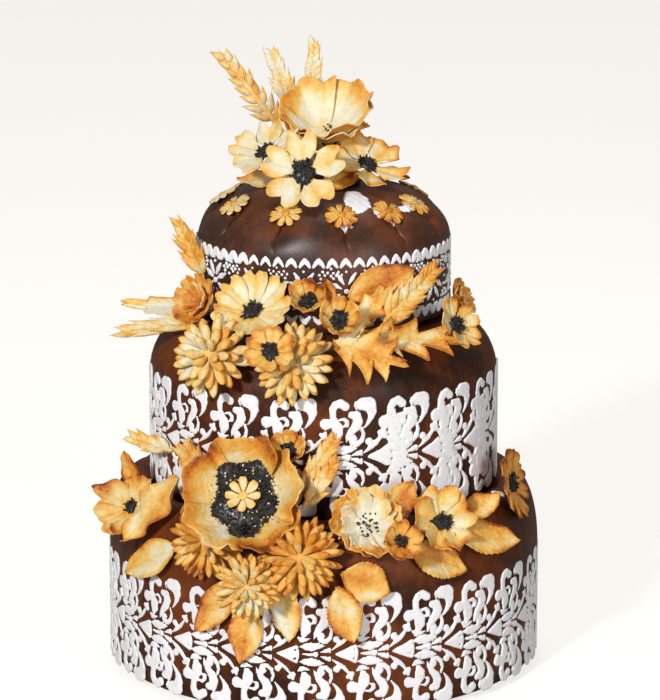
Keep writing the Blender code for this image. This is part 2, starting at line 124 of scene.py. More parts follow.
def chocolate_colour():
    """Shader group: dark brown paste, redder in patches and along the creases, painted darker in the
    crease cracks as shade, with dusty specks.
    """
    group, given, out = start_group("chocolate_colour", ("Crease",), ("Color", "Roughness", "Height"))
    where = put(group, "ShaderNodeTexCoord").outputs["Object"]
    patches = noise(group, where, 17.0, 4.0, 0.62)
    stain = field(group, "MULTIPLY_ADD", given["Crease"], 0.3, patches)
    stain = field(group, "MULTIPLY_ADD", noise(group, where, 210.0, 3.0), 0.2, stain)
    colour = colour_ramp(group, stain, (
        (0.46, (0.030, 0.0125, 0.0070)),
        (0.60, (0.052, 0.0165, 0.0068)),
        (0.74, (0.140, 0.0330, 0.0062)),
        (0.92, (0.230, 0.0560, 0.0095)),
    ))
    grains = put(group, "ShaderNodeTexVoronoi", {"Vector": where, "Scale": 420.0}).outputs["Distance"]
    dust = spanned(group, grains, 0.16, 0.09, 0.0, 0.22)
    sugar = (0.36, 0.27, 0.20, 1.0)
    dusted = put(group, "ShaderNodeMix", {0: dust, 6: colour, 7: sugar}, data_type="RGBA")
    group.links.new(dusted.outputs[2], out.inputs["Color"])
    group.links.new(spanned(group, patches, 0.3, 0.7, 0.36, 0.52), out.inputs["Roughness"])
    group.links.new(noise(group, where, 620.0, 3.0), out.inputs["Height"])
    return group


def chocolate_paste(name, shine):
    """Chocolate paste with more or less of a sheen."""
    made, shader = blank_material(name, 0.42)
    tree = made.node_tree
    shader.inputs["Specular IOR Level"].default_value = shine
    crease = put(tree, "ShaderNodeAttribute", attribute_name="crease").outputs["Fac"]
    look = put(tree, "ShaderNodeGroup", {"Crease": crease}, node_tree=chocolate_look)
    tree.links.new(look.outputs["Color"], shader.inputs["Base Color"])
    tree.links.new(look.outputs["Roughness"], shader.inputs["Roughness"])
    roughen(tree, shader, look.outputs["Height"], 0.25, 0.0004)
    return made


def new_object(name, data):
    """Object that holds the data, put in the scene."""
    obj = bpy.data.objects.new(name, data)
    bpy.context.scene.collection.objects.link(obj)
    return obj


def mesh_piece(name, points, faces, finish, marks=None, mark_name="bake"):
    """Smooth object from points in millimetres, with one number kept at each point."""
    mesh = bpy.data.meshes.new(name)
    mesh.from_pydata(np.asarray(points, float) * MM, [], faces)
    mesh.polygons.foreach_set("use_smooth", [True] * len(mesh.polygons))
    if marks is not None:
        layer = mesh.attributes.new(mark_name, "FLOAT", "POINT")
        layer.data.foreach_set("value", np.asarray(marks, np.float32))
    mesh.materials.append(finish)
    mesh.validate()
    return new_object(name, mesh)


def settle(obj, slot_name, *nodes):
    """Fix a finished piece to the cake, and hide the solids it stands for. Its slot name is not used."""
    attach(obj, "root")
    if nodes:
        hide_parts(*nodes)


def rounded_profile(corners, steps, passes):
    """Profile walked at even steps and eased round its corners."""
    corners = np.array(corners, float)
    runs = np.r_[0.0, np.cumsum(np.hypot(*np.diff(corners, axis=0).T))]
    at = np.linspace(0.0, runs[-1], steps)
    line = np.stack([np.interp(at, runs, corners[:, 0]), np.interp(at, runs, corners[:, 1])], 1)
    for _ in range(passes):
        line[1:-1] = 0.25 * line[:-2] + 0.5 * line[1:-1] + 0.25 * line[2:]
    return line


def pillow_angles(count):
    """Azimuths in degrees, the same number of them to each pillow."""
    ends = np.array((*CREASES, CREASES[0] + 360), float)
    return np.interp(np.arange(count) * len(CREASES) / count, np.arange(len(ends)), ends)


def covered_tier(name, corners, depth, start, end, seat, warmth, finish, steps=64, around=480):
    """Turned tier in pleated paste, closed at both poles, and redder by warmth.

    Its pleats are nine tenths of depth deep, with a crack along each crease. They fade in between
    the heights start and end, and outside the radius seat.
    """
    line = rounded_profile(corners, steps, 3)
    share = np.arange(around) * len(CREASES) / around
    fold = 1.0 - np.abs(np.sin(np.pi * share))
    crack = np.exp(-((share - np.round(share)) / CRACK_WIDTH) ** 2)
    angle = np.radians(pillow_angles(around))
    widest = line[:, 0].max()
    points = []
    marks = []
    for radius, height in line[1:-1]:
        rise = min(max((height - start) / (end - start), 0.0), 1.0)
        near = min(max((radius - seat) / (0.12 * widest), 0.0), 1.0)
        pull = (0.9 * depth * fold ** 1.2 + CRACK_DEPTH * crack) * rise * near
        swell = 0.35 * np.sin(3.0 * angle + 0.05 * height) + 0.25 * np.sin(7.0 * angle - 0.09 * height)
        bend = 0.012 * np.sin(0.35 * height + 9.0 * angle) * near
        out = radius - 0.5 * pull + swell * near * (height > 8.0)
        turn = angle + bend
        points.append(np.stack([out * np.sin(turn), -out * np.cos(turn), height - pull], 1))
        # Redder beside each crease and painted darker in its crack: the darkening in the crack is painted
        # shade.
        crease_tint_and_shade = (0.5 * fold ** 3 - 0.8 * crack) * (0.25 + 0.75 * rise) * near
        marks.append(crease_tint_and_shade + warmth * (0.4 + 0.6 * rise))
    rings = len(points)
    points = np.concatenate(points + [[(0.0, 0.0, line[0, 1])], [(0.0, 0.0, line[-1, 1])]])
    marks = np.concatenate(marks + [[0.0, 0.0]])
    faces = []
    for ring in range(rings - 1):
        for step in range(around):
            ahead = (step + 1) % around
            low, high = (ring + 1) * around, ring * around
            faces.append((high + step, low + step, low + ahead, high + ahead))
    bottom = (rings - 1) * around
    for step in range(around):
        ahead = (step + 1) % around
        faces.append((rings * around, step, ahead))
        faces.append((rings * around + 1, bottom + ahead, bottom + step))
    return mesh_piece(name, points, faces, finish, marks, "crease")


chocolate_look = chocolate_colour()
paste = chocolate_paste("chocolate_satin", 0.5)
dull_paste = chocolate_paste("chocolate_dull", 0.16)
bottom_tier = covered_tier("tier_bottom_covered", (
    (0.0, 125.0), (121.1, 125.0), (123.0, 131.5), (131.5, 135.5), (139.5, 131.5), (145.8, 120.0),
    (150.0, 98.0), (150.0, 3.0), (148.0, 0.2), (0.0, 0.2),
), depth=3.0, start=121.0, end=135.0, seat=121.6, warmth=0.42, finish=dull_paste)
middle_tier = covered_tier("tier_middle_covered", (
    (0.0, 247.0), (87.9, 247.0), (89.6, 249.5), (97.0, 248.0), (105.5, 241.0), (114.0, 230.5),
    (120.6, 216.0), (120.6, 127.8), (119.1, 125.3), (0.0, 125.3),
), depth=3.0, start=227.0, end=248.0, seat=88.4, warmth=0.34, finish=dull_paste)
top_tier = covered_tier("tier_top_covered", (
    (0.0, 338.0), (45.0, 335.5), (66.0, 329.5), (76.0, 323.5), (84.0, 314.0), (87.4, 302.0),
    (87.4, 249.3), (85.9, 247.3), (0.0, 247.3),
), depth=5.4, start=304.0, end=322.0, seat=60.0, warmth=0.04, finish=paste, steps=72, around=768)
settle(bottom_tier, "chocolate", "tier_bottom")
settle(middle_tier, "chocolate", "tier_middle")
settle(top_tier, "chocolate", "tier_top")

# ---------------------------------------------------------------- icing bands on the two lower tiers
# White royal icing spread through a stencil: fans, eye-shaped petals, scrolls and commas,
# mirrored about the middle of the band. The edges are soft, and in places strokes have run together.

FAR = 900  # millimetres along the wall, farther than any band reaches
DAMASK = (
    # strokes of (along the band, up from its middle, radius)
    ((0.2, 0, 0.3), (10.5, 0, 3.4)),
    ((0.6, 0.4, 0.4), (13.4, 5.2, 1.3), (14.3, 3.0, 1.0), (14.6, 0.5, 1.2)),
    ((-2.3, 3.0, 0.4), (2.0, 6.3, 1.4), (5.6, 9.0, 1.5), (8.6, 12.6, 1.1)),
    ((1.0, 10.4, 2.5), (2.8, 8.2, 1.5)),
    ((15.9, 5.3, 0.7), (19.5, 5.3, 2.4), (23.5, 5.3, 3.2), (28.0, 5.7, 2.2), (32.2, 6.1, 0.4)),
    ((17.6, 0, 0.7), (21.0, 0, 1.0), (24.0, 0, 1.1), (26.4, 0, 2.1)),
    ((29.4, 1.3, 0.4), (33.0, 2.4, 1.5), (35.4, 3.6, 1.4), (35.7, 1.9, 1.0)),
    ((14.8, 11.6, 0.9), (17.0, 10.0, 1.9), (20.0, 10.1, 1.3), (22.7, 11.0, 0.4)),
    ((18.8, 14.2, 2.3), (19.6, 17.0, 3.7), (19.4, 20.0, 3.9), (17.8, 24.0, 2.7), (16.6, 28.0, 2.1)),
    ((16.6, 28.0, 2.1), (16.3, 33.0, 2.3), (18.2, 36.2, 2.6), (21.4, 37.2, 2.8), (24.6, 34.9, 2.9)),
    ((21.0, 26.1, 0.9), (24.0, 26.4, 1.2), (26.0, 24.4, 1.3), (25.7, 22.0, 1.3), (24.2, 21.6, 0.9)),
    ((11.6, 23.2, 4.0), (15.8, 24.0, 2.8)),
    ((8.7, 16.0, 1.6), (11.4, 14.0, 1.8), (11.2, 17.5, 1.0)),
    ((29.0, 29.0, 2.4), (32.4, 28.5, 2.9), (33.2, 24.6, 3.3), (31.8, 20.8, 3.0), (28.6, 17.4, 2.4)),
    ((28.6, 17.4, 2.4), (26.2, 13.6, 1.4), (25.3, 10.8, 0.5)),
    ((35.9, 19.6, 0.8), (37.0, 16.0, 1.2), (36.0, 11.5, 1.6), (33.0, 9.0, 1.7), (29.6, 9.6, 1.7)),
    ((29.6, 9.6, 1.7), (28.6, 12.0, 1.6), (30.4, 12.8, 2.2)),
    ((36.6, 36.4, 4.3), (40.8, 35.8, 4.9), (42.6, 31.0, 3.3), (42.2, 27.0, 2.1), (40.4, 23.4, 1.2)),
    ((40.4, 23.4, 1.2), (38.0, 20.4, 0.5)),
    ((32.4, 33.0, 0.5), (31.1, 35.2, 0.6), (31.6, 37.6, 0.5)),
)


def royal_icing():
    """Matt white with faint lumps and a little shade in its pits."""
    made, shader = blank_material("royal_icing", 0.6)
    tree = made.node_tree
    lumps = noise(tree, put(tree, "ShaderNodeTexCoord").outputs["Object"], 260.0, 3.0)
    colour = colour_ramp(tree, lumps, ((0.30, (0.84, 0.83, 0.86)), (0.46, (0.95, 0.94, 0.96))))
    tree.links.new(colour, shader.inputs["Base Color"])
    roughen(tree, shader, lumps, 0.4, 0.0006)
    return made


def mirrored(strokes):
    """The strokes and their reflections below the middle line."""
    return strokes + tuple(tuple((u, -v, r) for u, v, r in stroke) for stroke in strokes)


def stencil_reach(strokes, u, v):
    """Distance from each place to the nearest stroke's edge, negative inside."""
    nearest = np.full(u.shape, 1e9)
    for stroke in strokes:
        for (u0, v0, r0), (u1, v1, r1) in zip(stroke, stroke[1:] or stroke):
            du, dv = u1 - u0, v1 - v0
            along = np.clip(((u - u0) * du + (v - v0) * dv) / max(du * du + dv * dv, 1e-9), 0.0, 1.0)
            gap = np.hypot(u - u0 - along * du, v - v0 - along * dv) - r0 - along * (r1 - r0)
            nearest = np.minimum(nearest, gap)
    return nearest


def grid_squares(number):
    """Corners of each square of a numbered grid, in order round it."""
    corners = [number[:-1, :-1], number[:-1, 1:], number[1:, 1:], number[1:, :-1]]
    return np.stack(corners, -1).reshape(-1, 4)


def icing_sheet(strokes, low, high, step, bleed, thickness, edge):
    """Strokes as a flat raised sheet, with edges that dip into the paste."""
    u, v = np.meshgrid(np.arange(low[0], high[0], step), np.arange(low[1], high[1], step))
    reach = stencil_reach(strokes, u, v) - bleed(u, v)
    slope_v, slope_u = np.gradient(reach, step)
    out = np.clip(reach, 0.0, 1.5 * step)
    height = thickness * np.sqrt(1.0 - (1.0 - np.clip(-reach / edge, 0.0, 1.0)) ** 2)
    height = np.where(reach > 0.0, -0.4, height)
    points = np.stack([u - out * slope_u, v - out * slope_v, height], -1).reshape(-1, 3)
    number = np.arange(u.size).reshape(u.shape)
    corners = grid_squares(number)
    inside = (reach.reshape(-1)[corners] < 0.0).any(axis=1)
    used, faces = np.unique(corners[inside], return_inverse=True)
    return points[used], faces.reshape(-1, 4).tolist()


def icing_tile(name, strokes, low, high, step, bleed, finish, thickness=0.8, edge=0.7):
    """One repeat of the stencil as a spare piece."""
    return mesh_piece(name, *icing_sheet(strokes, low, high, step, bleed, thickness, edge), finish)


def start_tree(name, inputs):
    """New Geometry Nodes tree with named inputs, its input node and its output node."""
    tree = bpy.data.node_groups.new(name, "GeometryNodeTree")
    tree.interface.new_socket("Geometry", in_out="INPUT", socket_type="NodeSocketGeometry")
    for label, kind in inputs:
        tree.interface.new_socket(label, in_out="INPUT", socket_type="NodeSocket" + kind)
    tree.interface.new_socket("Geometry", in_out="OUTPUT", socket_type="NodeSocketGeometry")
    return tree, tree.nodes.new("NodeGroupInput").outputs, tree.nodes.new("NodeGroupOutput")


def end_tree(tree, output, geometry, finish):
    """Realize the instances, give them their material and send them out."""
    real = put(tree, "GeometryNodeRealizeInstances", {0: geometry})
    smooth = put(tree, "GeometryNodeSetShadeSmooth", {"Geometry": real.outputs[0]})
    coated = put(tree, "GeometryNodeSetMaterial", {"Geometry": smooth.outputs[0], "Material": finish})
    tree.links.new(coated.outputs[0], output.inputs[0])


def run_tree(name, tree, values, base=None):
    """Plain mesh object that the tree makes from its inputs, and from a base piece if it has one."""
    mesh = bpy.data.meshes.new(name) if base is None else base.data
    if base is not None:
        bpy.data.objects.remove(base, do_unlink=True)
    obj = new_object(name, mesh)
    grown = obj.modifiers.new(tree.name, "NODES")
    grown.node_group = tree
    for item in tree.interface.items_tree:
        if item.in_out == "INPUT" and item.name in values:
            grown[item.identifier] = values[item.name]
    bpy.context.view_layer.update()
    plain = bpy.data.meshes.new_from_object(obj.evaluated_get(bpy.context.evaluated_depsgraph_get()))
    plain.name = name
    obj.modifiers.clear()
    obj.data = plain
    return obj


def vector(tree, x=0.0, y=0.0, z=0.0):
    """Three numbers as one place, turn or size."""
    return put(tree, "ShaderNodeCombineXYZ", {0: x, 1: y, 2: z}).outputs[0]


def copies(tree, spots, piece, **more):
    """A copy of a spare piece at each spot."""
    spare = put(tree, "GeometryNodeObjectInfo", {"Object": piece}).outputs["Geometry"]
    given = {"Points": spots, "Instance": spare, **more}
    return put(tree, "GeometryNodeInstanceOnPoints", given).outputs[0]


def gathered(tree, *parts):
    """Several geometries as one."""
    both = put(tree, "GeometryNodeJoinGeometry")
    for part in parts:
        tree.links.new(part, both.inputs[0])
    return both.outputs[0]


def band_tree(finish):
    """Stencil repeats laid end to end, made a little uneven, and wrapped round a tier."""
    tree, given, output = start_tree("icing_band", (
        ("Clean repeat", "Object"), ("Run repeat", "Object"), ("Repeats", "Int"), ("Pitch", "Float"),
        ("Start", "Float"), ("Middle", "Float"), ("Radius", "Float"), ("Run right of", "Float"),
        ("Run left of", "Float"), ("Wobble", "Float"),
    ))
    index = put(tree, "GeometryNodeInputIndex").outputs[0]
    along = field(tree, "MULTIPLY_ADD", index, given["Pitch"], given["Start"])
    spot = vector(tree, along, given["Middle"])
    spots = put(tree, "GeometryNodePoints", {"Count": given["Repeats"], "Position": spot}).outputs[0]
    place = put(tree, "GeometryNodeInputPosition").outputs[0]
    at = put(tree, "ShaderNodeSeparateXYZ", {0: place}).outputs
    right = field(tree, "GREATER_THAN", at[0], given["Run right of"])
    left = field(tree, "LESS_THAN", at[0], given["Run left of"])
    run = field(tree, "MAXIMUM", right, left)
    clean = field(tree, "SUBTRACT", 1.0, run)
    run_copies = copies(tree, spots, given["Run repeat"], Selection=run)
    clean_copies = copies(tree, spots, given["Clean repeat"], Selection=clean)
    flat = gathered(tree, run_copies, clean_copies)
    flat = put(tree, "GeometryNodeRealizeInstances", {0: flat}).outputs[0]
    drift = put(tree, "ShaderNodeTexNoise", {"Scale": 130.0, "Detail": 1.0}).outputs["Color"]
    centred = {0: drift, 1: (0.5, 0.5, 0.5)}
    drift = put(tree, "ShaderNodeVectorMath", centred, operation="SUBTRACT").outputs[0]
    amount = vector(tree, given["Wobble"], given["Wobble"])
    drift = put(tree, "ShaderNodeVectorMath", {0: drift, 1: amount}, operation="MULTIPLY").outputs[0]
    uneven = put(tree, "GeometryNodeSetPosition", {"Geometry": flat, "Offset": drift}).outputs[0]
    angle = field(tree, "DIVIDE", at[0], given["Radius"])
    out = field(tree, "ADD", given["Radius"], at[2])
    x = field(tree, "MULTIPLY", out, field(tree, "SINE", angle))
    y = field(tree, "MULTIPLY", out, field(tree, "MULTIPLY", field(tree, "COSINE", angle), -1.0))
    on_wall = vector(tree, x, y, at[1])
    wrapped = put(tree, "GeometryNodeSetPosition", {"Geometry": uneven, "Position": on_wall}).outputs[0]
    end_tree(tree, output, wrapped, finish)
    return tree


def evenly_bled(amount):
    """Every stroke spread by the same amount."""
    return lambda u, v: amount


def heavily_bled(u, v):
    """Strokes run together round the middle column of the stencil, less so at its ends."""
    return 0.15 + 0.85 * np.exp(-((u - 20.0) / 9.0) ** 4) * (np.abs(v) < 31.0)


def all_round(repeats, phase, radius):
    """Row of repeats right round a tier: how many, where the first stands, and their pitch."""
    pitch = math.tau * radius / repeats
    start = math.radians(phase) * radius
    while start - pitch > -math.pi * radius:
        start -= pitch
    return repeats, start, pitch


def lay_band(name, clean, run, row, middle, radius, right=FAR, left=-FAR, wobble=0.9):
    """Row of repeats on a tier's wall, with strokes run together past two places along it."""
    repeats, start, pitch = row
    band = run_tree(name, icing_bands, {
        "Clean repeat": clean, "Run repeat": run, "Repeats": repeats, "Pitch": pitch * MM,
        "Start": start * MM, "Middle": middle * MM, "Radius": radius * MM,
        "Run right of": right * MM, "Run left of": left * MM, "Wobble": wobble * MM,
    })
    settle(band, "icing")


icing = royal_icing()
icing_bands = band_tree(icing)
damask = mirrored(DAMASK)
clean_repeat = icing_tile("clean_repeat", damask, (-3.5, -43), (48, 43), 0.78, evenly_bled(0.08), icing)
run_repeat = icing_tile("run_repeat", damask, (-3.5, -43), (48, 43), 0.85, heavily_bled, icing)
bottom_row = all_round(24, 3.0, BOTTOM_RADIUS)
middle_row = all_round(19, 14.2, MIDDLE_RADIUS)
lay_band("icing_bottom_band", clean_repeat, clean_repeat, bottom_row, 45.0, BOTTOM_RADIUS)
lay_band(
    "icing_middle_band", clean_repeat, run_repeat, middle_row, 172.0, MIDDLE_RADIUS, right=5, left=-300,
)

# ---------------------------------------------------------------- icing band on the top tier
# A finer stencil: a row of arrowheads at the top and another at the bottom, and between them
# stars of eight leaf-shaped strokes with pyramids of dots. The repeat was begun again at the front.

STAR = (
    ((0, 1, 1.9),),
    ((-6.4, 13.2, 0.7), (-3.9, 9.6, 1.6), (-1.5, 5.6, 0.5)),
    ((6.4, 13.2, 0.7), (3.9, 9.6, 1.6), (1.5, 5.6, 0.5)),
    ((3.2, 3.0, 0.6), (7.4, 4.9, 2.0), (11.6, 6.9, 0.6)),
    ((-3.2, 3.0, 0.6), (-7.4, 4.9, 2.0), (-11.6, 6.9, 0.6)),
    ((4.2, -0.8, 0.6), (8.2, -2.8, 1.8), (12.2, -5.2, 0.6)),
    ((-4.2, -0.8, 0.6), (-8.2, -2.8, 1.8), (-12.2, -5.2, 0.6)),
    ((2.0, -4.4, 0.6), (4.4, -8.0, 1.7), (7.0, -11.8, 0.6)),
    ((-2.0, -4.4, 0.6), (-4.4, -8.0, 1.7), (-7.0, -11.8, 0.6)),
    ((0, 14.3, 0.9),),
    ((0, -13.0, 0.9),),
)
DOTS = (
    (18.4, 16.5), (12.9, 14.4), (16.2, 13.8), (20.0, 13.6), (23.4, 14.2), (10.6, 12.2), (14.2, 12.0),
    (18.4, 11.6), (22.0, 11.8), (25.6, 12.2), (11.6, 9.6), (20.0, 9.9), (16.0, 8.2), (24.4, 9.4),
    (18.4, 5.4), (18.4, 0.5), (16.4, -4.6), (20.6, -4.8), (18.5, -8.4), (15.0, -9.8), (22.2, -9.6),
    (13.2, -12.4), (17.0, -12.2), (20.8, -12.4), (24.0, -12.0),
)
ARROWS = (
    ((-3.3, 17.6, 1.0), (-1.6, 20.4, 1.6), (0, 22.0, 1.6), (1.6, 20.4, 1.6), (3.3, 17.6, 1.0)),
    ((-3.3, -16.4, 1.0), (-1.6, -18.6, 1.6), (0, -20.4, 1.6), (1.6, -18.6, 1.6), (3.3, -16.4, 1.0)),
)
STAR_PITCH = 36.9
TOP_BAND_MIDDLE = 277.0

star_strokes = STAR + tuple(((u, v, 0.95),) for u, v in DOTS)
thin = {"finish": icing, "thickness": 0.7, "edge": 0.6}
star_repeat = icing_tile(
    "star_repeat", star_strokes, (-14, -15), (27.5, 19), 0.55, evenly_bled(0.15), **thin,
)
arrow_repeat = icing_tile("arrow_repeat", ARROWS, (-5.5, -24), (5.6, 25), 0.6, evenly_bled(0.1), **thin)
run_arrows = icing_tile("run_arrows", ARROWS, (-6.5, -24), (6.5, 25), 0.6, evenly_bled(0.85), **thin)
for name, repeats, first in (
    ("icing_top_stars_right", 8, 15.5),
    ("icing_top_stars_left", 7, -13.2 - 6 * STAR_PITCH),
):
    star_row = (repeats, first, STAR_PITCH)
    lay_band(name, star_repeat, star_repeat, star_row, TOP_BAND_MIDDLE, TOP_RADIUS, wobble=0.8)
arrow_row = all_round(60, 9.98, TOP_RADIUS)
lay_band(
    "icing_top_arrows", arrow_repeat, run_arrows, arrow_row, TOP_BAND_MIDDLE, TOP_RADIUS,
    right=66, left=-55,
)
for spare in (clean_repeat, run_repeat, star_repeat, arrow_repeat, run_arrows):
    bpy.data.objects.remove(spare, do_unlink=True)

# ---------------------------------------------------------------- icing smears
# Royal icing was dabbed on to hold the flowers. It shows as a ragged white patch on the top tier
# beside the front flower, as dabs squeezed out from under the small daisies, and as one more dab
# beside the outermost flower of the bottom tier.

SMEAR_ROOM = 11.0  # millimetres kept free round the strokes
SMEARS = {
    # name: strokes of (x, y, radius), seen from above
    "icing_smear_crown": (
        ((20, -40, 6.0), (22, -48, 8.6), (23, -55, 8.2), (23, -60, 5.0)),
        ((29, -52, 3.0), (31, -56, 1.6)),
        ((17, -60, 2.2), (15, -62, 1.2)),
    ),
    "icing_smear_front": (((6, -69, 1.8), (12, -71.5, 2.6), (19, -68, 2.4)), ((18.5, -72.5, 1.2),)),
    "icing_smear_right": (((36, -59.5, 2.0), (42, -57.5, 2.6), (48, -53.5, 2.0)), ((37, -62.5, 1.1),)),
    "icing_smear_side": (((50, -48, 1.6), (56, -44, 2.8), (60, -37, 2.6)),),
}


def on_covering(covering, x, y):
    """Place on a tier's covering straight below a point, in millimetres, and the way it faces there."""
    spot, normal, _, _ = covering.ray_cast(Vector((x, y, 500.0)) * MM, Vector((0.0, 0.0, -1.0)))
    return np.array(spot) / MM, np.array(normal)


def ragged(u, v):
    """Uneven spread of a smear's edge."""
    return 0.45 * np.sin(0.9 * u + 2.0 * np.sin(0.7 * v)) * np.sin(0.8 * v)


def spread_icing(name, strokes, covering):
    """Icing smeared over a tier, following its surface."""
    places = np.array([place for stroke in strokes for place in stroke])
    low = places[:, :2].min(0) - SMEAR_ROOM
    high = places[:, :2].max(0) + SMEAR_ROOM
    points, faces = icing_sheet(strokes, low, high, step=0.5, bleed=ragged, thickness=1.0, edge=1.6)
    laid = []
    for x, y, height in points:
        spot, normal = on_covering(covering, x, y)
        uneven = 0.12 * math.sin(0.9 * x + 1.7 * math.sin(0.7 * y)) * (height > 0.5)
        laid.append(spot + normal * (height + uneven))
    settle(mesh_piece(name, laid, faces, icing), "icing")


coverings = []
for tier in (top_tier, bottom_tier):
    corners = [vertex.co for vertex in tier.data.vertices]
    faces = [tuple(face.vertices) for face in tier.data.polygons]
    coverings.append(BVHTree.FromPolygons(corners, faces))
for name, strokes in SMEARS.items():
    spread_icing(name, strokes, coverings[0])
spread_icing("icing_dab_side", (((116.5, -57, 2.2), (121, -57, 3.2)), ((123, -53, 1.6),)), coverings[1])

# ---------------------------------------------------------------- baked pastry and the small daisies
# Salt dough rolled thin, cut and baked: cream in the hollows, golden over most of it, and browned
# at the tips and rims. Eleven little daisies lie in a ring on the top tier's pillows, and a low
# mound of paste in the middle holds up the flowers.

DAISY_RING = 69.5  # millimetres from the middle of the tier
DAISY_AZIMUTHS = (-60, -21, 10, 39, 63, 115, 146, 177, 208, 239, 268)
DAISY_TONES = {-60: 0.0, -21: 0.14, 10: 0.34, 39: 0.36, 63: 0.2, 268: -0.1}


def baked_colour():
    """Shader group: dough colour and grain from the mark, which holds how far each place is baked plus
    painted shade at petal bases, petal grooves and leaf veins.
    """
    group, given, out = start_group("baked_dough", ("Bake", "Shift", "Blotches"), ("Color", "Height"))
    where = put(group, "ShaderNodeTexCoord").outputs["Object"]
    blotches = noise(group, where, 62.0, 3.0, 0.55)
    freckles = noise(group, where, 330.0, 3.0)
    share = field(group, "ADD", given["Bake"], given["Shift"])
    for spots, weight in ((blotches, given["Blotches"]), (freckles, 0.5)):
        share = field(group, "MULTIPLY_ADD", field(group, "SUBTRACT", spots, 0.5), weight, share)
    colour = colour_ramp(group, share, (
        (0.00, (0.83, 0.78, 0.61)),
        (0.12, (0.86, 0.71, 0.38)),
        (0.30, (0.87, 0.56, 0.155)),
        (0.50, (0.83, 0.40, 0.058)),
        (0.70, (0.70, 0.245, 0.021)),
        (0.88, (0.46, 0.120, 0.010)),
        (1.00, (0.22, 0.045, 0.005)),
    ))
    group.links.new(colour, out.inputs["Color"])
    height = field(group, "MULTIPLY_ADD", freckles, 2.0, noise(group, where, 900.0, 2.0))
    group.links.new(height, out.inputs["Height"])
    return group


def pastry(name, shift, blotches, roughness):
    """Baked dough, browned by shift more or less than its marks say, and unevenly by its blotches."""
    made, shader = blank_material(name, roughness)
    tree = made.node_tree
    bake = put(tree, "ShaderNodeAttribute", attribute_name="bake").outputs["Fac"]
    values = {"Bake": bake, "Shift": shift, "Blotches": blotches}
    dough = put(tree, "ShaderNodeGroup", values, node_tree=baked_dough)
    tree.links.new(dough.outputs["Color"], shader.inputs["Base Color"])
    roughen(tree, shader, dough.outputs["Height"], 0.55, 0.0007)
    return made


baked_dough = baked_colour()
PASTRY = {
    # slot: name, shift, blotches, roughness
    "pastry_pale": pastry("dough_pale", 0.06, 0.85, 0.5),
    "pastry_golden": pastry("dough_golden", 0.24, 1.25, 0.48),
    "pastry_brown": pastry("dough_brown", 0.40, 1.0, 0.45),
}


def facing(turn, tilt, roll=0.0):
    """Right, top and face directions of a flower that looks turn degrees round and tilted up."""
    turn, tilt, roll = (math.radians(angle) for angle in (turn, tilt, roll))
    out = np.array((math.sin(turn) * math.cos(tilt), -math.cos(turn) * math.cos(tilt), math.sin(tilt)))
    up = np.array((0.0, 0.0, 1.0)) - out * out[2]
    up /= np.linalg.norm(up)
    axes = np.stack((np.cross(up, out), up, out), 1)
    cos, sin = math.cos(roll), math.sin(roll)
    return axes @ np.array(((cos, -sin, 0.0), (sin, cos, 0.0), (0.0, 0.0, 1.0)))


def ease(value):
    """Smooth step from 0 to 1."""
    value = np.clip(value, 0.0, 1.0)
    return value * value * (3.0 - 2.0 * value)


def pastry_sheet(top, bake, thickness, edge, darker=0.08):
    """Closed sheet below a grid of points, thinner and rounded at its edge."""
    rows, columns = top.shape[:2]
    normal = np.cross(np.gradient(top, axis=1), np.gradient(top, axis=0))
    normal /= np.linalg.norm(normal, axis=2, keepdims=True) + 1e-9
    below = top - normal * (thickness * (1.0 - 0.45 * edge ** 3))[..., None]
    number = np.arange(rows * columns).reshape(rows, columns)
    rim = np.r_[number[0, :-1], number[:-1, -1], number[-1, :0:-1], number[:0:-1, 0]]
    inner = np.r_[number[1, :-1], number[:-1, -2], number[-2, :0:-1], number[:0:-1, 1]]
    above, under = top.reshape(-1, 3), below.reshape(-1, 3)
    outward = above[rim] - above[inner]
    outward /= np.linalg.norm(outward, axis=1, keepdims=True) + 1e-9
    lip = 0.5 * (above[rim] + under[rim]) + 0.25 * thickness * outward
    marks = bake.reshape(-1)
    quads = grid_squares(number)
    size = rows * columns
    mid = 2 * size + np.arange(len(rim))
    ahead, mid_ahead = np.roll(rim, -1), np.roll(mid, -1)
    faces = np.concatenate((
        quads,
        quads[:, ::-1] + size,
        np.stack((rim, mid, mid_ahead, ahead), 1),
        np.stack((mid, rim + size, ahead + size, mid_ahead), 1),
    ))
    marks = np.concatenate((marks, marks + darker, marks[rim] - 0.26))
    return np.concatenate((above, under, lip)), faces, marks


def joined(parts):
    """Several sets of points, faces and marks as one."""
    faces = []
    start = 0
    for points, some, _ in parts:
        faces += (np.asarray(some) + start).tolist()
        start += len(points)
    points, marks = (np.concatenate([part[at] for part in parts]) for at in (0, 2))
    return points, faces, marks


def turned(points, degrees):
    """Points turned clockwise about Z, as seen from the face."""
    cos, sin = math.cos(math.radians(degrees)), math.sin(math.radians(degrees))
    return points @ np.array(((cos, -sin, 0.0), (sin, cos, 0.0), (0.0, 0.0, 1.0)))


def cupped(far, cup, bowl):
    """Height of a flower's cup at a share of its reach: a dish, or a flat bowl with steep walls."""
    return cup * (ease((far - bowl) / (1.15 - bowl)) if bowl else far ** 2)


